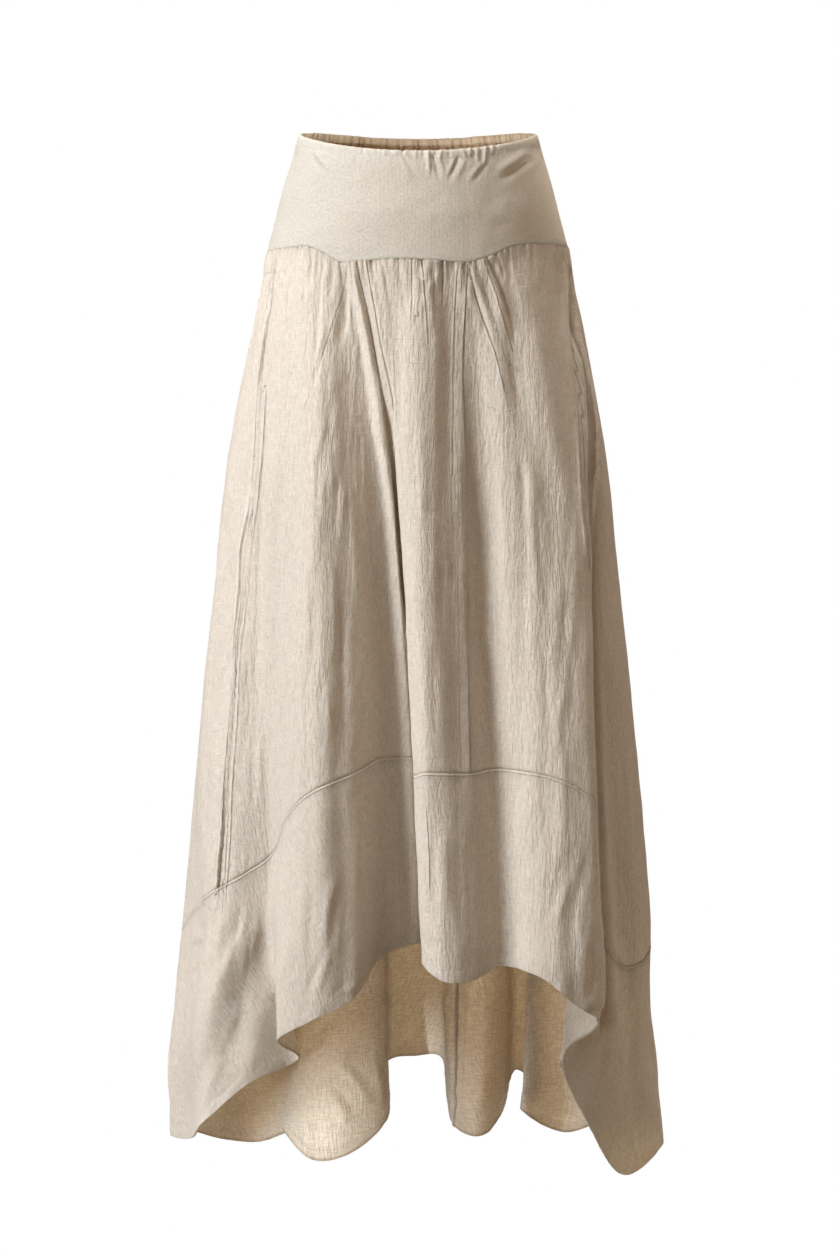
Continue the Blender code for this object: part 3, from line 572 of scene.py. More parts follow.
# Long soft swells and hollows of the front: half width, or that of its left and its right
# side, then height, x and how far it lifts
SWELLS = (
    # left panel: the crest, the face beside it and the valley that falls to the pleat
    (17, ((-125, -109, 0), (-152, -110, 2), (-248, -105, 2.4), (-344, -100, 3), (-440, -106, 2.2),
        (-487, -113, 1), (-560, -114, 0))),
    (19, ((-200, -89, 0), (-248, -91, 2.6), (-344, -85, 3), (-440, -89, 3.2), (-583, -89, 3.8),
        (-678, -88, 4), (-772, -85, 3.4), (-840, -89, 0.5))),
    (14, ((-320, -64, 0), (-392, -64, 0.9), (-535, -66, 1.4), (-630, -67, 2.8), (-725, -61, 1.6),
        (-821, -58, 1.5), (-850, -58, 0))),
    ((36, 8), ((-126, -68, 0), (-152, -66, -4), (-200, -57, -6.4), (-248, -50, -7.2), (-296, -43, -7.8),
        (-344, -34, -8.4), (-392, -29, -8.8), (-440, -26, -8.8), (-535, -18, -8.6), (-630, -13, -8.2),
        (-725, -9, -7.4), (-773, -7, -4.6), (-805, -7, 0))),
    (10, ((-460, -7, 0), (-500, -5, -1.7), (-583, -1, -1.6), (-630, 2, -1.4), (-678, 8, -1.9),
        (-725, 12, -2.8), (-773, 15, -1.4), (-805, 17, 0))),
    # the lip of the pleat
    (7, ((-118, -66, 2), (-144, -61, 3.6), (-180, -53, 4.4), (-212, -47, 4.4), (-250, -39, 4),
        (-296, -34, 3.4), (-343, -28, 2.4), (-432, -22, 1.6), (-500, -15, 0.8), (-550, -10, 0))),
    ((6, 4), ((-200, -35, 0), (-232, -31, -3), (-262, -27, -4.8), (-290, -25.5, -3.6), (-318, -24, 0))),
    # centre panel
    (19, ((-126, -2, 0), (-152, -2, 1.1), (-200, -4, 2.5), (-296, -3, 3), (-344, 1, 2.4), (-440, 8, 2.4),
        (-535, 16, 1.8), (-630, 29, 2), (-678, 33, 2.8), (-772, 42, 2.6), (-815, 43, 1.5))),
    (12, ((-126, 18, -1), (-153, 21, -3), (-200, 27, -2.2), (-296, 29, -1.8), (-344, 29, 0))),
    (15, ((-126, 35, -1.5), (-152, 35, -3.6), (-200, 33, -3.4), (-296, 31, -2.8), (-392, 33, -1),
        (-480, 36, 0))),
    (12, ((-500, 46, 0), (-583, 48, 0.8), (-678, 47, 1.6), (-725, 56, 1.3), (-773, 60, 1.6),
        (-815, 60, 0))),
    # right panel: the valley beside the felled seam, the soft crest and the face
    (17, ((-150, 48, 0), (-200, 49, -2.7), (-248, 52, -3.6), (-296, 53, -4.8), (-344, 55, -6.8),
        (-392, 58, -7), (-440, 59, -6.4), (-487, 61, -5.9), (-535, 65, -5.2), (-583, 68, -3.8),
        (-678, 76, -2), (-800, 82, 0))),
    (19, ((-122, 70, 0), (-152, 71, 1.6), (-200, 73, 3.6), (-248, 78, 4.4), (-296, 81, 5.4),
        (-344, 84, 6.2), (-392, 87, 6.8), (-440, 87, 6.2), (-488, 89, 4.6), (-535, 92, 2.8),
        (-620, 92, 1), (-700, 91, 0))),
    (18, ((-160, 94, 0), (-248, 102, -2.8), (-296, 113, -4), (-344, 124, -4.2), (-440, 127, -4),
        (-583, 123, -3.4), (-630, 122, -4), (-725, 119, -4.6), (-773, 118, -4.2), (-820, 122, -3.4))),
    (15, ((-120, 98, 0), (-152, 104, 1.6), (-200, 116, 2.6), (-248, 128, 2.6), (-296, 134, 2),
        (-380, 140, 0))),
    (12, ((-420, 142, 0), (-487, 139, 1.2), (-535, 134, 1), (-583, 142, 1.2), (-678, 146, 1.6),
        (-725, 149, 1.6), (-773, 149, 3.2), (-840, 150, 0))),
    # the right crest and the hollow of the side panel beside it
    (18, ((-330, 158, 0), (-392, 158, 3.2), (-440, 157, 4.6), (-630, 160, 5), (-678, 160, 5.8),
        (-772, 162, 6.2), (-840, 166, 5))),
    (9, ((-355, 163, 0), (-392, 162, 2), (-440, 162, 2.6), (-487, 161, 2.4), (-583, 163, 1.6),
        (-725, 167, 1.8), (-773, 170, 3.2), (-821, 173, 4), (-850, 174, 2))),
    (16, ((-120, 140, 0), (-152, 145, -2.4), (-200, 158, -4), (-296, 172, -4.8), (-392, 183, -4.6),
        (-488, 188, -4.8), (-535, 190, -5.4), (-630, 194, -6.2), (-725, 199, -6.8), (-773, 202, -4.6),
        (-820, 204, -2.4), (-880, 206, 0))),
    # left side
    (17, ((-200, -146, 0), (-248, -148, -1.8), (-344, -156, -4.2), (-440, -161, -5.4), (-535, -164, -5.8),
        (-630, -167, -4.2), (-725, -164, -3.2), (-773, -170, -2.6), (-830, -176, 0))),
    (20, ((-200, -162, 0), (-296, -172, 2), (-344, -181, 3.2), (-440, -192, 4.4), (-535, -202, 5),
        (-630, -206, 5), (-725, -202, 4.2), (-780, -200, 1.8), (-820, -200, 0))),
    (17, ((-520, -126, 0), (-583, -126, -1.9), (-630, -123, -2.4), (-678, -125, -2.2), (-725, -127, -1.4),
        (-780, -130, 0))),
)


def swell_heights(points, normals):
    """How far the long swells and hollows lift or sink each point of a grid."""
    heights = np.zeros(points.shape[:2])
    for half_width, route in SWELLS:
        z, x, lift = np.array(route, dtype=float)[::-1].T
        middle = np.interp(points[..., 2], z, x)
        amount = np.interp(points[..., 2], z, lift)
        inside = (points[..., 2] > z[0]) & (points[..., 2] < z[-1])
        away = points[..., 0] - middle
        left, right = np.broadcast_to(half_width, 2)
        profile = np.clip(1 - (away / np.where(away < 0, left, right)) ** 2, 0.0, 1.0) ** 2
        heights += np.where(inside, amount * profile, 0.0)
    return heights * ease(-normals[..., 1], *SWELL_FADE)


# Sharp folded or stitched lines of the front: strength, then points as x and height.
# The cloth is ridged just left of a line and drops just right of it, with a painted highlight on the ridge
# and painted shade in the drop.
SHARP_LINES = (
    (1.4, ((-143, -154), (-148, -184), (-158, -257), (-162, -313), (-166, -350), (-174, -406),
        (-176, -443), (-181, -500), (-183, -548), (-188, -628), (-190, -687), (-193, -732))),
    (1, ((-150, -250), (-155, -313), (-159, -350), (-167, -406), (-169, -443), (-174, -500), (-176, -548),
        (-181, -628), (-183, -687), (-186, -732))),
    (1.3, ((-30, -305), (-24, -343), (-21, -390), (-18, -431), (-14, -480))),
    (1, ((49, -130), (62, -177), (76, -221), (83, -246))),
    (0.9, ((63, -121), (78, -168), (92, -212))),
    (0.35, ((-69, -129), (-77, -164), (-91, -212), (-106, -262))),
    (0.6, ((39, -128), (37, -168), (36, -212), (35, -256), (34, -330))),
    (1.2, ((-59, -126), (-55, -144), (-51, -162), (-47, -180), (-42, -207), (-35, -262), (-30, -305))),
    (0.8, ((143, -112), (148, -143), (152, -183), (155, -223), (156, -287), (157, -354), (160, -419))),
    (1.5, ((149, -127), (158, -188), (164, -215), (168, -245), (169, -287), (166, -327), (165, -397),
        (163, -481), (164, -565), (166, -646), (168, -720), (172, -782), (175, -846), (177, -862))),
    (0.9, ((4, -126), (8, -172), (10, -204))),
    (0.7, ((-6, -124), (-6, -168))),
    (0.8, ((24, -124), (24, -159))),
    (0.9, ((8, -650), (10, -687), (10, -720))),
)
LINE_REACH = 24.0
LINE_FADE = (0.1, 0.35)


def sharp_line_sides(points, normals):
    """Signed distance to the nearest sharp line, larger to its right, and that line's strength."""
    nearest = np.full(points.shape[:2], LINE_REACH)
    strength = np.zeros(points.shape[:2])
    forward = normals[..., 1] < 0
    for force, route in SHARP_LINES:
        for start, end in zip(route, route[1:]):
            along, side, length = line_places(points[..., 0], points[..., 2], start, end)
            beyond = np.maximum(-along, 0) + np.maximum(along - length, 0)
            distance = np.where(side < 0, -1.0, 1.0) * np.hypot(side, beyond)
            closer = forward & (np.abs(distance) < np.abs(nearest))
            nearest = np.where(closer, distance, nearest)
            strength = np.where(closer, force, strength)
    return nearest, strength * ease(-normals[..., 1], *LINE_FADE)


GATHER_SEED = 11
GATHER_COUNT = 118
GATHER_STEPS = (0.55, 1.45)
GATHER_DEPTH = (1.4, 3.2)
GATHER_WIDTH = (0.9, 1.7)
GATHER_REACH = (9.0, 42.0)
GATHER_REACH_SHARE = (0.5, 1.0)
GATHER_LEAN = (-0.08, 0.08)
GATHER_RADIUS = 136.0
GATHER_WIDENS = 24.0
GATHER_FALL = 1.5
GATHER_LIFT = 1.1
GATHER_LIFT_REACH = 14.0


def ring_places(random, steps, count):
    """Unevenly spaced angles once round a ring."""
    steps = random.uniform(*steps, count)
    return np.cumsum(steps) / steps.sum() * math.tau


def turn_between(angle, place):
    """The angle from a place on a ring, from -pi to pi."""
    return np.mod(angle - place + math.pi, math.tau) - math.pi


def gather_heights(yoke_angle, below_seam):
    """Narrow uneven troughs where the panels are gathered into the yoke seam."""
    random = np.random.default_rng(GATHER_SEED)
    heights = np.zeros_like(below_seam)
    for place in ring_places(random, GATHER_STEPS, GATHER_COUNT):
        depth = random.uniform(*GATHER_DEPTH)
        width = random.uniform(*GATHER_WIDTH)
        reach = random.uniform(*GATHER_REACH) * random.uniform(*GATHER_REACH_SHARE)
        lean = random.uniform(*GATHER_LEAN)
        away = turn_between(yoke_angle, place) * GATHER_RADIUS + lean * below_seam
        profile = bell(away, 0.0, width * (1 + below_seam / GATHER_WIDENS))
        heights -= depth * profile * np.exp(-((below_seam / reach) ** GATHER_FALL))
    return heights + GATHER_LIFT * np.exp(-below_seam / GATHER_LIFT_REACH)


MEAN_GIRTH = 1650.0
CRINKLE_SEED = 31
# Streaks of the washed linen: lift, width and length of their cells, and whether they
# come in patches
CRINKLES = (
    (1.2, 24.0, 170.0, False),
    (0.85, 9.5, 44.0, True),
    (0.50, 5.4, 13.0, True),
)
PATCH_CELL = (70.0, 130.0)
PATCH_SEED = 38
PATCH_MEAN = 0.65
PATCH_CHANGE = 0.5
CALM_REACH = 40.0
CALM_SHARE = 0.35


def along_girth(u):
    """Distance round the skirt from the centre back seam at a mean girth."""
    return np.mod(u - around("centre_back_seam"), PERIOD) / PERIOD * MEAN_GIRTH


def crinkle_heights(across, height, below_seam):
    """The washed linen's soft uneven streaks, longer down than across."""
    patch = PATCH_MEAN + PATCH_CHANGE * soft_noise(across, height, *PATCH_CELL, PATCH_SEED)
    heights = np.zeros_like(height)
    for step, (lift, cell_across, cell_down, is_patchy) in enumerate(CRINKLES):
        streaks = soft_noise(across, height, cell_across, cell_down, CRINKLE_SEED + step)
        heights += lift * (patch if is_patchy else 1.0) * streaks
    return heights * (CALM_SHARE + (1 - CALM_SHARE) * ease(below_seam, 0.0, CALM_REACH))


# ---------------------------------------------------------------- meshes
COLUMN_SPACING = 3.15
ROW_SPACING = 4.6
EDGE_STEPS = (0.0, 0.6, 1.4, 2.6)
STRIP_STEPS = (0.0, 0.5, 1.1, 1.8, 2.6, 3.6, 4.6, 5.6, 6.4, 7.1, 7.8, 8.8, 10.2, 12.0)
LAP_STEPS = (0.5, 1.3, 3.2, 6.0)
LAP_DROP = 1.3
LAP_COLUMN_DROP = 1.7
MEASURED_COLUMNS = 1201
MID_SHARE = 0.45
MID_WEIGHT = 1.15
RISE_STEP = 0.01
HEM_DEPTH = 12.0
HEM_STEPS = (-1.2, 0.0, 1.2)
HEM_EXTRA = 0.9
STRIP_WIDTH = 9.0
FIRST_STRIP_WIDTH = 6.6
EDGE_REACH = 40.0

# Seams: heights, places and half widths of their rolls and grooves, and where they fade
SEAM_GROOVE = 0.7
SEAM_GROOVE_WIDTH = 1.0
ROLL_HEIGHT = 1.5
ROLL_BLUNTNESS = 0.7
ROLL_STARTS = (20.0, 130.0)
STRIP_LIFT = 0.6
FIRST_STRIP_LIFT = 0.4
STRIP_GROOVE = (0.7, FIRST_STRIP_WIDTH + 0.9, 1.2)
LAST_GROOVE = (0.5, 0.0, 1.4)
LAST_ROLL = (0.3, 1.6, 1.3)
BAND_TOP_ROLL = (0.45, 1.4, 1.3)
PANEL_LOW_GROOVE = (0.8, 0.0, 0.8)
PANEL_LOW_ROLL = (0.3, 3.0, 1.6)
HEM_GROOVE = (0.3, HEM_DEPTH, 1.1)
HEM_ROPING = 0.40
HEM_ROPING_CELL = (5.0, 30.0)
HEM_ROPING_SLANT = 0.9
HEM_ROPING_ENDS = (HEM_DEPTH - 3.0, HEM_DEPTH + 3.0)
HEM_ENDS = (HEM_DEPTH - 1.0, HEM_DEPTH)
FIRST_STRIP_ENDS = (FIRST_STRIP_WIDTH - 0.8, FIRST_STRIP_WIDTH + 0.8)
LAST_STRIP_ENDS = (STRIP_WIDTH - 1.0, STRIP_WIDTH + 1.6)
LAST_STRIP_STARTS = (-0.2, 0.6)
LAP_COLUMN_ENDS = (0.0, 0.8)
LAP_ROW_ENDS = (0.0, 1.0)
TOP_LAYER_ENDS = (6.0, 7.5)
# How thick the layers of cloth count for the light that comes through them, and for the painted shade that
# they lay on the face
FIRST_STRIP_LAYERS = 0.5
LAST_STRIP_LAYERS = 0.25
TOP_LAYERS = 0.5
HEM_LAYERS = 0.4

# Puckers beside a seam: spacing along it and depth, for a felled strip at the first seam,
# for a plain first seam and for a last seam
FIRST_STRIP_PUCKERS = (11.0, 1.5)
PLAIN_SEAM_PUCKERS = (24.0, 0.6)
LAST_SEAM_PUCKERS = (17.0, 1.1)
PUCKERS_IN_STRIP = 5.0
PUCKER_START = 12.0
PUCKER_CENTRE = (2.0, 5.5)
PUCKER_SLANT = (-0.7, 0.9)
PUCKER_LONG_SIDE = (3.5, 6.5)
PUCKER_SHORT_SIDE = (1.6, 2.8)
PUCKER_DEPTH_SHARE = (0.35, 1.0)
PUCKER_SPACING_SHARE = (0.45, 1.7)

# What is added to a piece's seed for its other puckers and for the roping of its hem
PLAIN_SEAM_SEED = 5
LAST_SEAM_SEED = 3
HEM_ROPING_SEED = 9

# Pieces whose felled strip lies along their first seam, on the neighbour's side of it
FIRST_STRIPS = ("front_left_panel",)
NO_LAST_STRIPS = ("side_left_panel",)

# Direction of the grain of a piece that is cut off the straight, in degrees
GRAIN = {"band_left": 24.0, "band_right": -38.0, "side_right_panel": -6.0, "side_left_panel": 5.0}


def spread(length, spacing, edge_steps=EDGE_STEPS):
    """Shares of a length with the given spacing, finer at both ends."""
    count = max(int(round((length - 2 * edge_steps[-1]) / spacing)), 2)
    middle = np.linspace(edge_steps[-1], length - edge_steps[-1], count + 1)[1:-1]
    start = np.array(edge_steps)
    return np.concatenate([start, middle, (length - start)[::-1]]) / length


def piece_span(first, last):
    """Around coordinates of the folds between which a piece lies, the last one larger."""
    start = around(first)
    end = around(last)
    return start, end if end > start else end + PERIOD


def fine_columns(first, last, edge_steps):
    """Fine around coordinates of a piece, and of the lap beyond its last seam."""
    start, end = piece_span(first, last)
    u = np.linspace(start, end, MEASURED_COLUMNS)
    hem = np.linalg.norm(np.diff(seam_line(u, 1.0), axis=0), axis=1)
    mid = np.linalg.norm(np.diff(seam_line(u, MID_SHARE), axis=0), axis=1)
    length = np.concatenate([[0.0], np.cumsum(np.maximum(hem, MID_WEIGHT * mid))])
    shares = spread(length[-1], COLUMN_SPACING, edge_steps)
    columns = np.interp(shares * length[-1], length, u)
    per_millimetre = (end - start) / length[-1]
    return np.concatenate([columns, end + np.array(LAP_STEPS) * per_millimetre])


def piece_shares(u, is_band):
    """Shares down of a piece's rows at u, with the laps above and below a panel."""
    full = seam_heights(YOKE_SEAM, u) - ring_curve(HEM_HEIGHTS, u)
    top = band_share(u) if is_band else np.zeros_like(u)
    bottom = np.ones_like(u) if is_band else band_share(u)
    top = top + SEAM_GAP / 2 / full
    length = float(np.max((bottom - top) * full))
    rows = spread(length, ROW_SPACING)
    if is_band:
        rows = np.unique(np.concatenate([rows, 1 - (HEM_DEPTH + np.array(HEM_STEPS)) / length]))
        return top + rows[:, None] * (bottom - top)
    bottom = bottom - SEAM_GAP / 2 / full
    down = top + rows[:, None] * (bottom - top)
    lap = np.array(LAP_STEPS)[:, None] / full
    return np.concatenate([down[:1] - lap[::-1], down, down[-1:] + lap])


def lapped_surface(u, down):
    """Points of the plain skirt, carried straight on above the yoke seam for the lap."""
    points = skirt_surface(u, np.clip(down, 0.0, 1.0))
    rise = (seam_line(u, 0.0) - seam_line(u, RISE_STEP)) / RISE_STEP
    return points + rise * np.maximum(-down, 0.0)[..., None]


def puckers(along, away, seed, spacing, depth):
    """Small slanting dents beside a seam, unevenly spaced along it."""
    random = np.random.default_rng(seed)
    heights = np.zeros_like(along)
    place = PUCKER_START
    longest = along.max()
    while place < longest:
        centre = random.uniform(*PUCKER_CENTRE)
        slant = random.uniform(*PUCKER_SLANT)
        long_side = random.uniform(*PUCKER_LONG_SIDE)
        short_side = random.uniform(*PUCKER_SHORT_SIDE)
        deep = depth * random.uniform(*PUCKER_DEPTH_SHARE)
        x = away - centre
        y = along - place - slant * x
        heights -= deep * np.exp(-((x / long_side) ** 2) - (y / short_side) ** 2)
        place += spacing * random.uniform(*PUCKER_SPACING_SHARE)
    return heights


def turned(uv, angle):
    """A cloth map turned by an angle in degrees, for cloth cut off the straight grain."""
    cos = math.cos(math.radians(angle))
    sin = math.sin(math.radians(angle))
    return uv @ np.array([[cos, sin], [-sin, cos]])


def shell_faces(row_count, column_count, ring):
    """Corners of the faces of an outer and an inner grid, joined along their edges."""
    offset = row_count * column_count
    rows = np.arange(row_count - 1)[:, None] * column_count
    columns = np.arange(column_count if ring else column_count - 1)[None, :]
    right = (columns + 1) % column_count
    below = rows + column_count
    outer = np.stack([rows + columns, below + columns, below + right, rows + right], axis=-1)
    low = offset - column_count
    edges = [(columns[0], right[0]), (right[0] + low, columns[0] + low)]
    if not ring:
        last = column_count - 1
        edges += [(below[:, 0], rows[:, 0]), (rows[:, 0] + last, below[:, 0] + last)]
    outer = outer.reshape(-1, 4)
    walls = [np.stack([start, end, end + offset, start + offset], axis=-1) for start, end in edges]
    return np.concatenate([outer, outer[:, ::-1] + offset, *walls])


def new_mesh(name, outer, inner, uv, values, ring=False):
    """A closed thin shell from an outer and an inner grid, with its cloth map in metres.

    The named values, a grid each, are kept on both sides for the material to read.
    """
    vertices = np.concatenate([outer.reshape(-1, 3), inner.reshape(-1, 3)]) * MM
    faces = shell_faces(*outer.shape[:2], ring)
    mesh = bpy.data.meshes.new(name)
    mesh.vertices.add(len(vertices))
    mesh.vertices.foreach_set("co", vertices.astype(np.float32).ravel())
    mesh.loops.add(faces.size)
    mesh.loops.foreach_set("vertex_index", faces.astype(np.int32).ravel())
    mesh.polygons.add(len(faces))
    mesh.polygons.foreach_set("loop_start", np.arange(0, faces.size, 4, dtype=np.int32))
    mesh.polygons.foreach_set("loop_total", np.full(len(faces), 4, dtype=np.int32))
    mesh.update(calc_edges=True)
    mesh.validate()
    layer = mesh.uv_layers.new(name="cloth")
    corner = np.empty(len(mesh.loops), dtype=np.int32)
    mesh.loops.foreach_get("vertex_index", corner)
    flat_uv = np.concatenate([uv.reshape(-1, 2)] * 2) * MM
    layer.data.foreach_set("uv", flat_uv[corner].astype(np.float32).ravel())
    kept = {label: np.concatenate([grid.ravel()] * 2) for label, grid in values.items()}
    kept["inside"] = np.arange(len(vertices)) >= len(vertices) // 2
    for label, numbers in kept.items():
        value = mesh.attributes.new(label, "FLOAT", "POINT")
        value.data.foreach_set("value", numbers.astype(np.float32))
    mesh.shade_smooth()
    piece = bpy.data.objects.new(name, mesh)
    bpy.context.scene.collection.objects.link(piece)
    return piece


def grid_steps(points):
    """Lengths of the steps across and down between the points of a grid."""
    across = np.linalg.norm(np.diff(points, axis=1), axis=2)
    down = np.linalg.norm(np.diff(points, axis=0), axis=2)
    return across, down


def cloth_map(points):
    """Flat coordinates of a piece: across from its middle column, and down each column."""
    across, down = grid_steps(points)
    across = np.concatenate([np.zeros((len(points), 1)), np.cumsum(across, axis=1)], axis=1)
    middle = points.shape[1] // 2
    across = across - across[:, middle:middle + 1]
    down = np.concatenate([np.zeros((1, points.shape[1])), np.cumsum(down, axis=0)], axis=0)
    return np.stack([across, down], axis=-1)


def finish_piece(piece, node, cloth):
    """The material and body that every sewn piece needs; its solid is hidden."""
    piece.data.materials.append(cloth)
    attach(piece, "root")
    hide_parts(node)


def lifted(distance, shape):
    """A roll along an edge, from its height, its distance from the edge and its half width."""
    height, middle, half_width = shape
    return height * bell(distance, middle, half_width)


def first_seam_relief(from_first, from_top, seed, has_strip, strip):
    """The roll, grooves and puckers of a felled strip at the first seam, or of a plain one."""
    if not has_strip:
        groove = SEAM_GROOVE * bell(from_first, 0.0, SEAM_GROOVE_WIDTH)
        seed = seed + PLAIN_SEAM_SEED
        return puckers(from_top, from_first, seed, *PLAIN_SEAM_PUCKERS) - groove
    roll = np.sin(math.pi * np.clip(from_first / FIRST_STRIP_WIDTH, 0.0, 1.0)) ** ROLL_BLUNTNESS
    relief = puckers(from_top, from_first - PUCKERS_IN_STRIP, seed, *FIRST_STRIP_PUCKERS)
    relief += ROLL_HEIGHT * roll * ease(from_top, *ROLL_STARTS) + FIRST_STRIP_LIFT * strip
    return relief - lifted(from_first, STRIP_GROOVE)


def last_seam_relief(to_last, from_top, seed, has_strip, strip):
    """The raised felled strip and puckers at the last seam, or the groove of a plain one."""
    if not has_strip:
        return -lifted(to_last, LAST_GROOVE)
    relief = puckers(from_top, np.abs(to_last), seed + LAST_SEAM_SEED, *LAST_SEAM_PUCKERS)
    relief += STRIP_LIFT * strip * ease(to_last, *LAST_STRIP_STARTS)
    return relief + lifted(to_last, LAST_ROLL)


def hem_relief(uv, from_top, to_bottom, seed):
    """The roll below a band's top seam, and the roping and groove of its folded hem."""
    slanting = uv[..., 0] + uv[..., 1] * HEM_ROPING_SLANT
    roping = soft_noise(slanting, uv[..., 1], *HEM_ROPING_CELL, seed + HEM_ROPING_SEED)
    roping = roping * (1 - ease(to_bottom, *HEM_ROPING_ENDS))
    relief = lifted(from_top, BAND_TOP_ROLL) + HEM_ROPING * roping
    return relief - lifted(to_bottom, HEM_GROOVE)


def edge_distances(from_first, to_last, from_top, to_bottom, strips, is_band):
    """Distances to a piece's edges, by the kind of sewing that they have."""
    has_first_strip, has_last_strip = strips
    edges = {"strip_edge": [], "rolled_edge": [], "plain_edge": [], "hem_edge": []}
    if is_band:
        edges["rolled_edge"].append(np.maximum(from_top, 0.0))
        edges["hem_edge"].append(to_bottom)
    else:
        edges["plain_edge"].append(np.abs(from_top))
    if has_first_strip:
        edges["strip_edge"].append(from_first + STRIP_WIDTH - FIRST_STRIP_WIDTH)
        edges["rolled_edge"].append(from_first)
    if has_last_strip:
        edges["strip_edge"].append(np.abs(to_last))
        edges["plain_edge"].append(np.abs(to_last))
    far = np.full(from_top.shape, EDGE_REACH)
    return {label: np.minimum.reduce([far, *distances]) for label, distances in edges.items()}


def build_skirt_piece(name, first, last, cloth, is_band):
    """One panel or band as a thin shell with gathers, creases, felled seams and its hem."""
    has_first_strip = name in FIRST_STRIPS
    has_last_strip = name not in NO_LAST_STRIPS
    u = fine_columns(first, last, STRIP_STEPS if has_first_strip else EDGE_STEPS)
    down = piece_shares(u, is_band)
    plain = lapped_surface(u, down)
    normals = plain_normals(u, np.clip(down, 0.0, 1.0))
    uv = cloth_map(plain)
    lap_rows = 0 if is_band else len(LAP_STEPS)
    last_column = -1 - len(LAP_STEPS)
    from_first = np.abs(uv[..., 0] - uv[:, :1, 0])
    to_last = uv[:, last_column, :1] - uv[..., 0]
    from_top = uv[..., 1] - uv[lap_rows, :, 1]
    to_bottom = uv[-1 - lap_rows, :, 1] - uv[..., 1]
    below_seam = seam_heights(YOKE_SEAM, u) - plain[..., 2]
    seed = sum(ord(letter) for letter in name)
    first_strip = 1 - ease(from_first, *FIRST_STRIP_ENDS)
    last_strip = 1 - ease(to_last, *LAST_STRIP_ENDS)
    hem = is_band * (1 - ease(to_bottom, *HEM_ENDS))

    relief = crease_heights(plain, normals) + swell_heights(plain, normals)
    relief += crinkle_heights(along_girth(u), plain[..., 2], below_seam)
    relief += first_seam_relief(from_first, from_top, seed, has_first_strip, first_strip)
    relief += last_seam_relief(to_last, from_top, seed, has_last_strip, last_strip)
    if is_band:
        relief += hem_relief(uv, from_top, to_bottom, seed)
    else:
        relief += gather_heights(oval_angle(seam_line(u, 0.0)), np.maximum(below_seam, 0.0))
        relief += lifted(to_bottom, PANEL_LOW_ROLL) - lifted(to_bottom, PANEL_LOW_GROOVE)
        relief = np.where(from_top < 0, np.minimum(relief, 0.0), relief)
        relief -= LAP_DROP * (ease(-from_top, *LAP_ROW_ENDS) + ease(-to_bottom, *LAP_ROW_ENDS))
    relief -= LAP_COLUMN_DROP * ease(-to_last, *LAP_COLUMN_ENDS)
    outer = plain + normals * relief[..., None]
    inner = outer - normals * (CLOTH_WALL + HEM_EXTRA * hem)[..., None]

    values = edge_distances(from_first, to_last, from_top, to_bottom,
                            (has_first_strip, has_last_strip), is_band)
    values["line_side"], values["line_strength"] = sharp_line_sides(plain, normals)
    values["strip_along"] = uv[..., 1]
    values["hem_along"] = uv[..., 0]
    values["layers"] = np.maximum.reduce([
        FIRST_STRIP_LAYERS * has_first_strip * first_strip,
        LAST_STRIP_LAYERS * has_last_strip * last_strip,
        TOP_LAYERS * (1 - ease(from_top, *TOP_LAYER_ENDS)),
        HEM_LAYERS * hem])
    piece = new_mesh(name + "_cloth", outer, inner, turned(uv, GRAIN.get(name, 0.0)), values)
    finish_piece(piece, name, cloth)


def waist_edge(angle):
    """Height of the waist's top edge: it dips at the front and is level at the back."""
    forward = -np.cos(angle)
    return WAIST_SIDE_HEIGHT + WAIST_TILT * forward - WAIST_DIP * forward**2


TURN_COLUMNS = 900


def yoke_seam_curve():
    """Angles round the body, rising from the front, and the yoke seam's height there."""
    points = seam_line(np.linspace(-PERIOD, 2 * PERIOD, 3 * TURN_COLUMNS), 0.0)
    angle = np.unwrap(oval_angle(points))
    start = angle[TURN_COLUMNS]
    return angle - (start - start % math.tau), points[:, 2]


SEAM_ANGLES, SEAM_HEIGHTS = yoke_seam_curve()

CASING_SEED = 5
CASING_PLEATS = 96
CASING_STEPS = (0.5, 1.5)
CASING_DEPTH = (0.6, 1.9)
CASING_WIDTH = (0.9, 1.7)
CASING_RADIUS = 110.0
CASING_CALM_ENDS = (62.0, 105.0)
CASING_CALM_SHARE = 0.14


def casing_ruche(angle):
    """Uneven small pleats that the elastic pulls into the casing, calmer at the front."""
    random = np.random.default_rng(CASING_SEED)
    turn = np.degrees(np.abs(turn_between(angle, 0.0)))
    heights = np.zeros_like(angle)
    for place in ring_places(random, CASING_STEPS, CASING_PLEATS):
        depth = random.uniform(*CASING_DEPTH)
        width = random.uniform(*CASING_WIDTH)
        heights -= depth * bell(turn_between(angle, place) * CASING_RADIUS, 0.0, width)
    return heights * (CASING_CALM_SHARE + (1 - CASING_CALM_SHARE) * ease(turn, *CASING_CALM_ENDS))


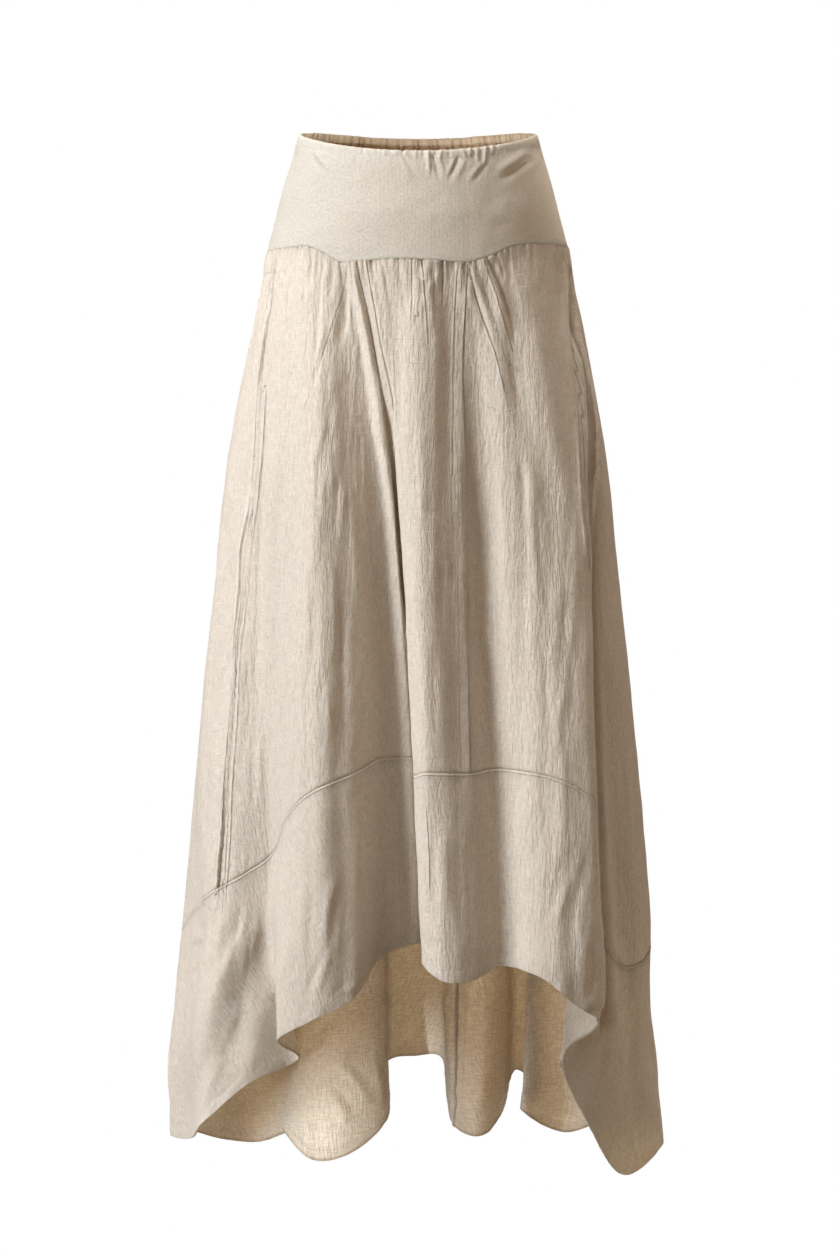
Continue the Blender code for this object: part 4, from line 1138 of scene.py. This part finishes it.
# Pulls and small gathers of the waist and the yoke, as the rows of CREASES
WAIST_CREASES = (
    ("front", (
        (-15, -8, -15, -25, 1.9, -2.4, 0), (-12, -9, -11, -22, 2.4, 1.3, 0),
        (-20, -21, -5, -43, 3.4, 0.9, 0.2), (-15, -20, -2, -41, 2.8, -0.9, 0.2),
        (10, -14, 11, -46, 2.4, 1.9, 0.1, 0, 0.2), (14, -20, 22, -48, 2.4, -1.6, 0.15),
        (20, -22, 26, -42, 2.4, 1.1, 0.2), (23, -12, 20, -29, 2.4, 1.2, 0.1),
        (18, -10, 17, -25, 2, -1, 0), (40, -21, 28, -49, 2.4, -1.6, 0.15),
        (36, -24, 27, -43, 2.4, 1.2, 0.2), (46, -24, 35, -48, 3, 1, 0.2),
        (41, -10, 48, -27, 2.2, 1.1, 0.1), (51, -8, 50, -23, 1.8, 1.5, 0),
        (54, -10, 54, -27, 1.7, -1.7, 0), (57, -14, 58, -31, 1.8, 1.1, 0.1),
        (61, -10, 61, -32, 1.8, -1.7, 0), (66, -9, 64, -32, 2, 1.5, 0), (70, -12, 68, -32, 1.8, -1.5, 0),
        (73, -6, 71, -22, 1.9, 1.6, 0), (77, -6, 76, -22, 1.9, -1.5, 0), (69, -26, 50, -51, 3, -1.2, 0.2),
        (64, -25, 45, -49, 3, 1, 0.2), (115, -18, 76, -47, 6, -2.6, 0.25),
        (112, -10, 70, -42, 7, 1.8, 0.25), (121, -20, 112, -44, 4, -1),
        (-105, -16, -89, -39, 3.4, -1.3, 0.2), (-101, -15, -85, -36, 3.4, 1.1, 0.2),
        (-55, -9, -52, -22, 2.4, -0.9, 0), (-41, -10, -39, -23, 2.2, -0.8, 0),
        (-33, -11, -32, -24, 2.2, 0.8, 0), (-27, -11, -26, -23, 2, -0.8, 0),
        (-22, -11, -21, -24, 2, 0.8, 0), (-3, -11, -2, -26, 2.2, 0.9, 0), (5, -11, 5, -28, 2.4, -1.1, 0),
        (30, -11, 31, -26, 2.4, -0.9, 0), (90, -60, 60, -92, 12, 0.7, 0.3, 2),
        (103, -12, 112, -110, 36, 2.4, 0.2), (-96, -52, -70, -88, 14, -0.6, 0.3, -2))),
    ("left", (
        (-20, -8, -35, -54, 8, -1.1, 0.2), (26, -6, 34, -48, 6, -1.3, 0.2))),
    ("right", (
        (-17, -8, -36, -60, 8, -1.2, 0.2), (30, -6, 38, -44, 6, -1.2, 0.2))),
    ("back", (
        (62, -4, 46, -40, 6, -1.4, 0.2), (-17, -4, -9, -38, 6, -1.4, 0.2),
        (-72, -4, -56, -44, 6, 1.3, 0.2))),
)
WAIST_RADIUS = 130.0
RUCHE_SHARE = 0.65
RUCHE_REACH = 9.0
# Unevenness of the knit: lift, width and height of its cells, and its seed
YOKE_WAVES = (0.6, 34.0, 26.0, 77)
YOKE_RIPPLES = (0.2, 9.0, 9.0, 78)
YOKE_WAVE_STARTS = (4.0, 26.0)
CALM_AT_SIDE = 25.0


def waist_heights(plain, normals, angles):
    """Relief that the casing and the yoke share, so that one runs on into the other."""
    below_edge = waist_edge(angles) - plain[..., 2]
    fading = np.exp(-np.maximum(below_edge - RUCHE_REACH, 0.0) / RUCHE_REACH)
    turn = np.mod(angles - math.pi / 2, math.tau)
    calm = ease(np.minimum(turn, math.tau - turn) * WAIST_RADIUS, 0.0, CALM_AT_SIDE)
    heights = crease_heights(plain, normals, WAIST_CREASES)
    heights += RUCHE_SHARE * casing_ruche(angles) * fading
    for (lift, cell_across, cell_down, seed), start in (
            (YOKE_WAVES, ease(below_edge, *YOKE_WAVE_STARTS)), (YOKE_RIPPLES, 1.0)):
        waves = soft_noise(turn * WAIST_RADIUS, plain[..., 2], cell_across, cell_down, seed)
        heights += lift * calm * waves * start
    return heights


CASING_COLUMNS = 720
CASING_ROWS = 17
CASING_ROW_CROWDING = 1.4
CASING_RIPPLE = 0.4
EDGE_ROUND = 2.4
EDGE_ROUND_REACH = 4.0
EDGE_WALL_SHARE = 0.30
EDGE_WALL_START = 0.06
OVERLAP = 6.0
OVERLAP_DROP = 0.32


def build_casing(cloth):
    """The elastic casing round the waist, rolled at the top and ruched."""
    angles = np.linspace(0.0, math.tau, CASING_COLUMNS, endpoint=False)
    shares = np.linspace(0.0, 1.0, CASING_ROWS)[:, None] ** CASING_ROW_CROWDING
    below_edge = shares * (CASING_HEIGHT - SEAM_GAP / 2)
    plain = oval_point(angles, waist_edge(angles) - below_edge)
    normals = grid_normals(plain, ring=True)
    ruche = casing_ruche(angles)
    lift = waist_heights(plain, normals, angles)
    rounding = 1 - np.clip(below_edge / EDGE_ROUND_REACH, 0.0, 1.0)
    lift = lift - EDGE_ROUND * (1 - np.sqrt(np.clip(1 - rounding**2, 0.0, 1.0)))
    lift = lift - OVERLAP_DROP * ease(below_edge, CASING_HEIGHT - OVERLAP, CASING_HEIGHT)
    outer = plain + normals * lift[..., None]
    outer[..., 2] += CASING_RIPPLE * ruche * (1 - shares)
    fullness = np.sin(math.pi * np.clip(shares + EDGE_WALL_START, 0, 1))
    wall = CASING_WALL * (EDGE_WALL_SHARE + (1 - EDGE_WALL_SHARE) * fullness)
    inner = outer - normals * wall[..., None]
    # The ruche's depth, which the knit turns into painted shade in its troughs
    values = {"dent": np.broadcast_to(-ruche, plain.shape[:2])}
    piece = new_mesh("casing_cloth", outer, inner, cloth_map(plain), values, ring=True)
    finish_piece(piece, "waist_casing", cloth)


YOKE_COLUMNS = 280
YOKE_DEPTH = 114.0
YOKE_ROW_SPACING = 2.6
YOKE_LOW_ROLL = (0.3, 2.2, 1.6)
YOKE_LOW_GROOVE = (0.2, 0.0, 0.6)
DENT_REACH = 7.0


def build_yoke(name, first_angle, last_angle, cloth):
    """One half of the knit yoke between the casing and the yoke seam."""
    angles = np.linspace(first_angle, last_angle, YOKE_COLUMNS)
    top = waist_edge(angles) - CASING_HEIGHT + OVERLAP
    bottom = np.interp(angles, SEAM_ANGLES, SEAM_HEIGHTS) + SEAM_GAP / 2
    shares = spread(YOKE_DEPTH, YOKE_ROW_SPACING)[:, None]
    plain = oval_point(angles, top + shares * (bottom - top))
    normals = grid_normals(plain)
    uv = cloth_map(plain)
    from_top = uv[..., 1] - OVERLAP
    from_bottom = uv[-1:, :, 1] - uv[..., 1]
    lift = waist_heights(plain, normals, angles) - OVERLAP_DROP * ease(-from_top, 0.0, OVERLAP)
    lift += lifted(from_bottom, YOKE_LOW_ROLL) - lifted(from_bottom, YOKE_LOW_GROOVE)
    outer = plain + normals * lift[..., None]
    inner = outer - normals * KNIT_WALL
    # The ruche's depth, which the knit turns into painted shade in its troughs
    values = {"dent": -casing_ruche(angles) * np.exp(-np.maximum(from_top, 0.0) / DENT_REACH)}
    piece = new_mesh(name + "_cloth", outer, inner, uv, values)
    finish_piece(piece, name, cloth)


# ---------------------------------------------------------------- materials
def shader_node(tree, kind, links=(), **values):
    """A new node with its inputs set by name, or linked from other nodes' outputs."""
    item = tree.nodes.new(kind)
    for name, value in values.items():
        setattr(item, name, value)
    for name, source in links:
        socket = item.inputs[name]
        if isinstance(source, bpy.types.NodeSocket):
            tree.links.new(source, socket)
        else:
            socket.default_value = source
    return item


def maths(tree, operation, first, second=0.0):
    """The output of a Math node."""
    item = shader_node(tree, "ShaderNodeMath", ((0, first), (1, second)), operation=operation)
    return item.outputs[0]


def weighted(tree, operation, terms, start=0.0):
    """Terms, each times its weight, joined on to a start one after another."""
    for value, weight in terms:
        start = maths(tree, operation, start, maths(tree, "MULTIPLY", value, weight))
    return start


def stretched_noise(tree, uv, across, down, detail, roughness, distortion=0.0):
    """Noise over the cloth map with its own scale across and down, per metre."""
    mapping = shader_node(tree, "ShaderNodeMapping", (("Vector", uv), ("Scale", (across, down, 1.0))))
    noise = shader_node(tree, "ShaderNodeTexNoise", (
        ("Vector", mapping.outputs[0]), ("Scale", 1.0), ("Detail", detail),
        ("Roughness", roughness), ("Distortion", distortion)))
    return noise.outputs["Fac"]


def ranged(tree, value, low, high, new_low=0.0, new_high=1.0, **kind):
    """A value mapped from one range to another, clamped."""
    item = shader_node(tree, "ShaderNodeMapRange", (
        ("Value", value), ("From Min", low), ("From Max", high),
        ("To Min", new_low), ("To Max", new_high)), **kind)
    return item.outputs[0]


# Places of a Mix node's colour inputs and of its colour output
FIRST_COLOUR = 6
SECOND_COLOUR = 7
MIXED_COLOUR = 2


def tinted(tree, colour, layers):
    """A colour with other colours mixed over it, each by its own factor."""
    for factor, tint in layers:
        item = shader_node(tree, "ShaderNodeMix", (
            (0, factor), (FIRST_COLOUR, colour), (SECOND_COLOUR, tint)), data_type="RGBA")
        colour = item.outputs[MIXED_COLOUR]
    return colour


def bumped(tree, strength, layers):
    """The normal after layers of relief, each with its size in metres and its heights."""
    below = ()
    for distance, height in layers:
        item = shader_node(tree, "ShaderNodeBump", (
            ("Strength", strength), ("Distance", distance), ("Height", height), *below))
        below = (("Normal", item.outputs[0]),)
    return item.outputs[0]


def lead_out(tree, share, first, second, kind="ShaderNodeOutputMaterial"):
    """Mix two shaders by a share and lead them to the output."""
    mix = shader_node(tree, "ShaderNodeMixShader", (
        (0, share), (1, first.outputs[0]), (2, second.outputs[0])))
    shader_node(tree, kind, (("Surface", mix.outputs[0]),))


def new_material(name):
    """A new material and its node tree, still empty."""
    material = bpy.data.materials.new(name)
    material.use_nodes = True
    material.node_tree.nodes.clear()
    return material, material.node_tree


def cloth_waves(tree, uv, axis, spacing):
    """Even waves along one axis of the cloth map, with their spacing in metres."""
    split = shader_node(tree, "ShaderNodeSeparateXYZ", (("Vector", uv),))
    return maths(tree, "SINE", maths(tree, "MULTIPLY", split.outputs[axis], math.tau / spacing))


CLOTH_SPECULAR = 0.25
SHEEN_ROUGHNESS = 0.5


def lit_cloth(tree, colour, rough, normal, sheen, glow_colour, glow_share):
    """The matt face of a cloth and the light that comes through it, led to the output."""
    surface = shader_node(tree, "ShaderNodeBsdfPrincipled", (
        ("Base Color", colour), ("Roughness", rough), ("Normal", normal),
        ("Specular IOR Level", CLOTH_SPECULAR), ("Sheen Weight", sheen),
        ("Sheen Roughness", SHEEN_ROUGHNESS)))
    glow = shader_node(tree, "ShaderNodeBsdfTranslucent", (("Color", glow_colour), ("Normal", normal)))
    lead_out(tree, glow_share, surface, glow)


LINEN_LIGHT = (0.915, 0.854, 0.766, 1)
LINEN_DARK = (0.67, 0.597, 0.495, 1)
# Colour of the slubs, also used for the painted highlight of ridges and rolled edges
LINEN_SLUB_AND_HIGHLIGHT = (0.95, 0.895, 0.81, 1)
LINEN_BLOTCH = (0.765, 0.687, 0.58, 1)
GLOW_THREAD = (0.57, 0.445, 0.295, 1)
GLOW_OPEN = (1.0, 0.88, 0.70, 1)
GLOW_SLUB = (0.50, 0.39, 0.26, 1)
GLOW_LAYERS = (0.56, 0.45, 0.33, 1)
GLOW_SHARE = 0.40
# Colour of painted shade: grooves, seam cracks, the hem rim, the recess beside the right crest and the
# knit's ruche troughs
PAINTED_SHADE = (0.33, 0.225, 0.135, 1)
STITCH_LENGTH = 2.9
STITCH_EDGE = 0.6
LINEN_SHEEN = 0.10
LINEN_ROUGHNESS = (0.82, 0.96)
WEAVE_SPACING = 0.0015
THREAD_RANGE = (0.30, 0.70)
OPEN_RANGE = (0.42, 0.58)
SLUB_RANGE = (0.58, 0.70)
GLOW_RANGE = (0.15, 0.85)
WARP_SHARE = 0.6
WEFT_SHARE = 0.4
# How much of the open weave shows in the cloth's colour, on its outer and its inner side
FACE_OPENNESS = (0.18, 0.36)
GLOW_OPENNESS = (0.18, 0.8)
# Weights in the cloth's relief of its weave, its warp, its weft and its slubs
THREAD_WEIGHTS = (0.12, 0.9, 0.6, 0.25)
THREAD_RELIEF = 0.0007
CRINKLE_RELIEF = 0.0017
MARK_RELIEF = 0.001

# How strongly slubs and blotches tint the face, how much painted shade the layers and painted highlight the
# rolls put on it, and how strongly slubs and layers tint the glow
SLUB_TINT = 0.35
BLOTCH_TINT = 0.35
LAYER_PAINTED_SHADE = 0.12
ROLL_PAINTED_HIGHLIGHT = 0.7
SLUB_IN_GLOW = 0.25
LAYERS_IN_GLOW = 0.5

# Noises of the linen: scale across and down per metre, detail, roughness, distortion
LINEN_NOISES = {
    "warp": (1000.0, 130.0, 2.0, 0.6),
    "weft": (150.0, 950.0, 2.0, 0.6),
    "open_warp": (600.0, 80.0, 2.0, 0.6),
    "open_weft": (80.0, 560.0, 2.0, 0.6),
    "warp_slub": (420.0, 24.0, 1.0, 0.5),
    "weft_slub": (28.0, 380.0, 1.0, 0.5),
    "crinkle": (300.0, 62.0, 3.0, 0.6, 0.5),
    "blotch": (16.0, 9.0, 3.0, 0.55),
}

# Fine marks of the sewing: the kept distance that they follow, where they lie on it and
# their half width, in millimetres
MARKS = {
    "ridge": ("line_side", -1.2, 1.4),
    "groove": ("line_side", 0.6, 1.1),
    "strip_row": ("strip_edge", STRIP_WIDTH - 0.8, 0.9),
    "hem_row": ("hem_edge", HEM_DEPTH - 1.2, 0.9),
    "roll": ("rolled_edge", 1.9, 1.3),
    "rolled_crack": ("rolled_edge", 0.0, 0.8),
    "plain_crack": ("plain_edge", 0.0, 0.8),
    "strip_line": ("strip_edge", STRIP_WIDTH + 0.6, 0.8),
    "hem_rim": ("hem_edge", 0.0, 4.4),
}
MARK_HEIGHTS = (
    ("ridge", 0.55), ("groove", -0.75), ("stitch_rows", -0.25), ("roll", 0.7), ("strip_line", -0.35))
# Painted shade that grooves, stitch rows, strip lines and seam cracks lay on the cloth's colour
MARK_SHADES = (("groove", 0.42), ("stitch_rows", 0.15), ("strip_line", 0.42), ("crack", 0.56))
# Share of a sharp line's ridge in the painted highlight
RIDGE_IN_PAINTED_HIGHLIGHT = 0.6
INSIDE_MARK_SHARE = 0.18
# Painted shade along the hem's rim on the cloth's inner side, where the thick hem keeps back the light
RIM_SHADE = 0.75
# Painted shade right of the right crest, where the fold's recess lies in shadow; its line has a strength of
# its own
DEEP_ENDS = (8.0, 23.0)
DEEP_STARTS = (0.5, 2.5)
DEEP_STRENGTH = (1.42, 1.5)
DEEP_SHADE = 0.68


def mark(tree, value, middle, half_width):
    """1 where a value is at the middle, falling smoothly to 0 at the half width."""
    away = maths(tree, "ABSOLUTE", maths(tree, "SUBTRACT", value, middle))
    return ranged(tree, away, 0.0, half_width, 1.0, 0.0, interpolation_type="SMOOTHSTEP")


def grid_value(tree, name):
    """One of the values that the mesh keeps, in millimetres where it is a distance."""
    return shader_node(tree, "ShaderNodeAttribute", attribute_name=name).outputs["Fac"]


def stitches(tree, along):
    """0 to 1 along a seam, once for each stitch."""
    wave = maths(tree, "SINE", maths(tree, "MULTIPLY", along, math.tau / STITCH_LENGTH))
    return ranged(tree, wave, -STITCH_EDGE, STITCH_EDGE)


def sewn_marks(tree):
    """Heights in millimetres of sharp folds, topstitching and hem stitches, and their painted shade and
    painted highlight.
    """
    marks = {name: mark(tree, grid_value(tree, edge), middle, half_width)
             for name, (edge, middle, half_width) in MARKS.items()}
    side = grid_value(tree, "line_side")
    strength = grid_value(tree, "line_strength")
    inside = grid_value(tree, "inside")
    for name, share in (("ridge", strength), ("groove", strength), ("hem_rim", inside),
                        ("strip_row", stitches(tree, grid_value(tree, "strip_along"))),
                        ("hem_row", stitches(tree, grid_value(tree, "hem_along")))):
        marks[name] = maths(tree, "MULTIPLY", marks[name], share)
    marks["stitch_rows"] = maths(tree, "MAXIMUM", marks["strip_row"], marks["hem_row"])
    marks["crack"] = maths(tree, "MAXIMUM", marks["rolled_crack"], marks["plain_crack"])
    height = weighted(tree, "ADD", [(marks[name], weight) for name, weight in MARK_HEIGHTS])
    shade = weighted(tree, "MAXIMUM", [(marks[name], weight) for name, weight in MARK_SHADES])
    # Less of the marks' painted shade on the cloth's inner side
    shade = maths(tree, "MULTIPLY", shade, ranged(tree, inside, 0.0, 1.0, 1.0, INSIDE_MARK_SHARE))
    # Painted shade in the recess right of the right crest
    deep = maths(tree, "MULTIPLY", ranged(tree, side, *DEEP_ENDS, 1.0, 0.0),
                 ranged(tree, side, *DEEP_STARTS))
    deep = maths(tree, "MULTIPLY", deep, ranged(tree, strength, *DEEP_STRENGTH))
    shade = weighted(tree, "MAXIMUM", ((deep, DEEP_SHADE), (marks["hem_rim"], RIM_SHADE)), shade)
    # Painted highlight on the lit side of sharp lines and along rolled seam edges
    roll = weighted(tree, "MAXIMUM", ((marks["ridge"], RIDGE_IN_PAINTED_HIGHLIGHT),), marks["roll"])
    return height, shade, roll


def linen_material():
    """Undyed linen: plain weave, slubs both ways, faint crinkle and thin enough to glow."""
    cloth, tree = new_material("linen_cloth")
    uv = shader_node(tree, "ShaderNodeUVMap", uv_map="cloth").outputs[0]
    noise = {name: stretched_noise(tree, uv, *row) for name, row in LINEN_NOISES.items()}
    layers = grid_value(tree, "layers")
    inside = grid_value(tree, "inside")
    marks, shade, roll = sewn_marks(tree)
    weave = maths(tree, "MULTIPLY", cloth_waves(tree, uv, 0, WEAVE_SPACING),
                  cloth_waves(tree, uv, 1, WEAVE_SPACING))
    slub = maths(tree, "MAXIMUM", ranged(tree, noise["warp_slub"], *SLUB_RANGE),
                 ranged(tree, noise["weft_slub"], *SLUB_RANGE))
    threads = weighted(tree, "ADD", zip((weave, noise["warp"], noise["weft"], slub), THREAD_WEIGHTS))
    normal = bumped(tree, 1.0, (
        (THREAD_RELIEF, threads), (CRINKLE_RELIEF, noise["crinkle"]), (MARK_RELIEF, marks)))
    fine = maths(tree, "ADD", ranged(tree, noise["warp"], *THREAD_RANGE, 0.0, WARP_SHARE),
                 ranged(tree, noise["weft"], *THREAD_RANGE, 0.0, WEFT_SHARE))
    coarse = maths(tree, "ADD", ranged(tree, noise["open_warp"], *OPEN_RANGE, 0.0, 0.5),
                   ranged(tree, noise["open_weft"], *OPEN_RANGE, 0.0, 0.5))
    coarser = maths(tree, "SUBTRACT", coarse, fine)
    face_yarn, glow_yarn = [
        weighted(tree, "ADD", ((coarser, ranged(tree, inside, 0.0, 1.0, *openness)),), fine)
        for openness in (FACE_OPENNESS, GLOW_OPENNESS)]
    colour = tinted(tree, LINEN_DARK, (
        (face_yarn, LINEN_LIGHT),
        (maths(tree, "MULTIPLY", slub, SLUB_TINT), LINEN_SLUB_AND_HIGHLIGHT),
        (ranged(tree, noise["blotch"], *THREAD_RANGE, 0.0, BLOTCH_TINT), LINEN_BLOTCH),
        # painted shade where the cloth lies doubled
        (maths(tree, "MULTIPLY", layers, LAYER_PAINTED_SHADE), LINEN_DARK),
        # painted highlight along ridges and rolled edges
        (maths(tree, "MULTIPLY", roll, ROLL_PAINTED_HIGHLIGHT), LINEN_SLUB_AND_HIGHLIGHT),
        # painted shade of the sewing marks, the hem rim and the crest recess
        (shade, PAINTED_SHADE)))
    glow_colour = tinted(tree, GLOW_THREAD, (
        (ranged(tree, glow_yarn, *GLOW_RANGE), GLOW_OPEN),
        (maths(tree, "MULTIPLY", slub, SLUB_IN_GLOW), GLOW_SLUB),
        (maths(tree, "MULTIPLY", layers, LAYERS_IN_GLOW), GLOW_LAYERS)))
    rough = ranged(tree, noise["weft"], *THREAD_RANGE, *LINEN_ROUGHNESS)
    lit_cloth(tree, colour, rough, normal, LINEN_SHEEN, glow_colour, GLOW_SHARE)
    return cloth


YOKE_TONE = 0.82
CASING_TONE = 0.85
KNIT_LIGHT = (0.81, 0.778, 0.693)
KNIT_DARK = (0.60, 0.565, 0.48)
KNIT_BLOTCH = (0.60, 0.54, 0.46, 1)
KNIT_GLOW = (0.97, 0.86, 0.72, 1)
# Colour of the painted shade in the glow of the ruche's troughs
KNIT_DENT_SHADE = (0.42, 0.33, 0.24, 1)
KNIT_GLOW_SHARES = (0.30, 0.80)
KNIT_SHEEN = 0.08
KNIT_ROUGHNESS = (0.8, 0.92)
KNIT_RELIEF = 0.0006
KNIT_BUMP = 0.8
WALE_SPACING = 0.0013
COURSE_SPACING = 0.0011
DEEPEST_DENT = 2.2
KNIT_GRAIN = (420.0, 380.0, 3.0, 0.6)
KNIT_PATCHES = (34.0, 26.0, 3.0, 0.5)
WALE_WEIGHT = 0.12
COURSE_WEIGHT = 0.06
GRAIN_WEIGHT = 0.8
GRAIN_RANGE = (0.35, 0.65)
PATCH_RANGE = (0.3, 0.7)
PATCH_TINT = 0.2
# Painted shade in the ruche's troughs, in the knit's colour and in its glow
DENT_PAINTED_SHADE = 0.45
DENT_SHADE_IN_GLOW = 0.7


def knit_material(name, darker):
    """The smooth yoke knit: fine wales, a soft matt face and painted shade in the ruche's troughs."""
    cloth, tree = new_material(name)
    uv = shader_node(tree, "ShaderNodeUVMap", uv_map="cloth").outputs[0]
    grain = stretched_noise(tree, uv, *KNIT_GRAIN)
    soft = stretched_noise(tree, uv, *KNIT_PATCHES)
    dent = ranged(tree, grid_value(tree, "dent"), 0.0, DEEPEST_DENT)
    loops = weighted(tree, "ADD", (
        (cloth_waves(tree, uv, 0, WALE_SPACING), WALE_WEIGHT),
        (cloth_waves(tree, uv, 1, COURSE_SPACING), COURSE_WEIGHT),
        (grain, GRAIN_WEIGHT)))
    normal = bumped(tree, KNIT_BUMP, ((KNIT_RELIEF, loops),))
    dark, light = [(*(channel * darker for channel in colour), 1) for colour in (KNIT_DARK, KNIT_LIGHT)]
    colour = tinted(tree, dark, (
        (ranged(tree, grain, *GRAIN_RANGE), light),
        (ranged(tree, soft, *PATCH_RANGE, 0.0, PATCH_TINT), KNIT_BLOTCH),
        # painted shade in the ruche's troughs
        (maths(tree, "MULTIPLY", dent, DENT_PAINTED_SHADE), PAINTED_SHADE)))
    glow_colour = tinted(tree, KNIT_GLOW, ((maths(tree, "MULTIPLY", dent, DENT_SHADE_IN_GLOW), KNIT_DENT_SHADE),))
    rough = ranged(tree, soft, *PATCH_RANGE, *KNIT_ROUGHNESS)
    glow_share = ranged(tree, grid_value(tree, "inside"), 0.0, 1.0, *KNIT_GLOW_SHARES)
    lit_cloth(tree, colour, rough, normal, KNIT_SHEEN, glow_colour, glow_share)
    return cloth


# ---------------------------------------------------------------- studio
FLOOR_HEIGHT = -1.40
CAMERA_PLACE = (0.0, -3.6, -0.30)
CAMERA_AIM = (0.0, 0.0, -0.483)
CAMERA_LENS = 103.35
CAMERA_SENSOR = 36.0


def aim(item, target):
    """Turn a camera or a lamp so that it looks at a point."""
    way = Vector(target) - item.location
    item.rotation_euler = way.to_track_quat("-Z", "Y").to_euler()


def add_lamp(name, kind, place, target, power, colour, **values):
    """A lamp that shines at a point."""
    lamp = bpy.data.lights.new(name, kind)
    lamp.energy = power
    lamp.color = colour
    for label, value in values.items():
        setattr(lamp, label, value)
    item = bpy.data.objects.new(name, lamp)
    item.location = place
    bpy.context.scene.collection.objects.link(item)
    aim(item, target)


LAMP_AIM = (0.0, 0.0, -0.5)
# Lamps: name, place, side of its square, power, colour
LAMPS = (
    ("key", (-3.0, -1.6, 1.95), 1.4, 195.0, (0.975, 1.01, 1.07)),
    ("key_low", (-3.35, -2.35, -1.1), 1.4, 94.0, (0.96, 1.0, 1.05)),
    ("front_low", (-2.35, -3.35, -1.2), 1.2, 14.0, (1.0, 0.92, 0.82)),
    ("top", (0.0, -0.2, 3.2), 1.4, 120.0, (1.0, 0.95, 0.90)),
    ("right_low", (3.1, -2.6, -1.1), 1.4, 31.0, (1.0, 0.83, 0.67)),
    ("right_rim", (3.6, 0.7, -0.8), 1.4, 27.0, (1.0, 0.90, 0.78)),
    ("back_low", (0.0, 4.1, -1.1), 1.8, 292.0, (1.0, 0.99, 0.98)),
)
FOLD_SPOT_PLACE = (-1.6, -3.3, -1.36)
FOLD_SPOT_AIM = (-0.088, 0.05, -1.01)
FOLD_SPOT_POWER = 1150.0
FOLD_SPOT_COLOUR = (0.84, 0.93, 1.0)
FOLD_SPOT_ANGLE = 2.2
FOLD_SPOT_SOFTNESS = 0.06
WORLD_LIGHT = (1.0, 0.76, 0.50, 1)
WORLD_STRENGTH = 0.05
WHITE = (1.0, 1.0, 1.0, 1)
PAPER = (0.93, 0.93, 0.93, 1)
PAPER_ROUGHNESS = 0.9
FLOOR_RADIUS = 9.0
FLOOR_CORNERS = 96
FLOOR_SHADE_RADIUS = 0.8
FLOOR_WHITE_RADIUS = 1.25


def paper_material():
    """The pale studio floor, which fades into the white surroundings away from the skirt."""
    paper, tree = new_material("floor_paper")
    surface = shader_node(tree, "ShaderNodeBsdfPrincipled", (
        ("Base Color", PAPER), ("Roughness", PAPER_ROUGHNESS)))
    white = shader_node(tree, "ShaderNodeEmission", (("Color", WHITE), ("Strength", 1.0)))
    place = shader_node(tree, "ShaderNodeTexCoord").outputs["Object"]
    far = shader_node(tree, "ShaderNodeVectorMath", ((0, place),), operation="LENGTH").outputs["Value"]
    lead_out(tree, ranged(tree, far, FLOOR_SHADE_RADIUS, FLOOR_WHITE_RADIUS), surface, white)
    return paper


def build_world():
    """Surroundings that look white and give a weak warm light."""
    world = bpy.data.worlds.new("studio")
    world.use_nodes = True
    bpy.context.scene.world = world
    tree = world.node_tree
    tree.nodes.clear()
    lit = shader_node(tree, "ShaderNodeBackground", (("Color", WORLD_LIGHT), ("Strength", WORLD_STRENGTH)))
    seen = shader_node(tree, "ShaderNodeBackground", (("Color", WHITE), ("Strength", 1.0)))
    ray = shader_node(tree, "ShaderNodeLightPath")
    lead_out(tree, ray.outputs["Is Camera Ray"], lit, seen, "ShaderNodeOutputWorld")


def build_lamps():
    """Large soft lamps, strongest from the left and the back, and a spot on the lit fold."""
    for name, place, side, power, colour in LAMPS:
        add_lamp(name, "AREA", place, LAMP_AIM, power, colour, shape="SQUARE", size=side)
    add_lamp("fold_spot", "SPOT", FOLD_SPOT_PLACE, FOLD_SPOT_AIM, FOLD_SPOT_POWER, FOLD_SPOT_COLOUR,
             spot_size=math.radians(FOLD_SPOT_ANGLE), spot_blend=1.0, shadow_soft_size=FOLD_SPOT_SOFTNESS)


def build_floor():
    """The paper under the skirt, which the light on the cloth does not come from."""
    bpy.ops.mesh.primitive_circle_add(vertices=FLOOR_CORNERS, radius=FLOOR_RADIUS, fill_type="NGON",
                                      location=(0.0, 0.0, FLOOR_HEIGHT))
    floor = bpy.context.object
    floor.name = "floor"
    floor.data.materials.append(paper_material())
    floor.visible_diffuse = False
    floor.visible_glossy = False
    floor.visible_transmission = False
    floor.visible_shadow = False


def build_camera():
    """The camera of the photo's view."""
    camera = bpy.data.objects.new("camera", bpy.data.cameras.new("camera"))
    camera.data.lens = CAMERA_LENS
    camera.data.sensor_width = CAMERA_SENSOR
    camera.location = CAMERA_PLACE
    bpy.context.scene.collection.objects.link(camera)
    aim(camera, CAMERA_AIM)
    bpy.context.scene.camera = camera


# ---------------------------------------------------------------- build
bpy.context.scene.view_settings.view_transform = "Standard"
build_world()
build_lamps()
build_floor()
build_camera()
linen = linen_material()
knit = knit_material("yoke_knit", YOKE_TONE)
casing_knit = knit_material("casing_knit", CASING_TONE)
build_casing(casing_knit)
build_yoke("yoke_front", -math.pi / 2, math.pi / 2, knit)
build_yoke("yoke_back", math.pi / 2, math.pi * 3 / 2, knit)
for panel, first_fold, last_fold in PANELS:
    build_skirt_piece(panel, first_fold, last_fold, linen, is_band=False)
for band, first_fold, last_fold in BANDS:
    build_skirt_piece(band, first_fold, last_fold, linen, is_band=True)
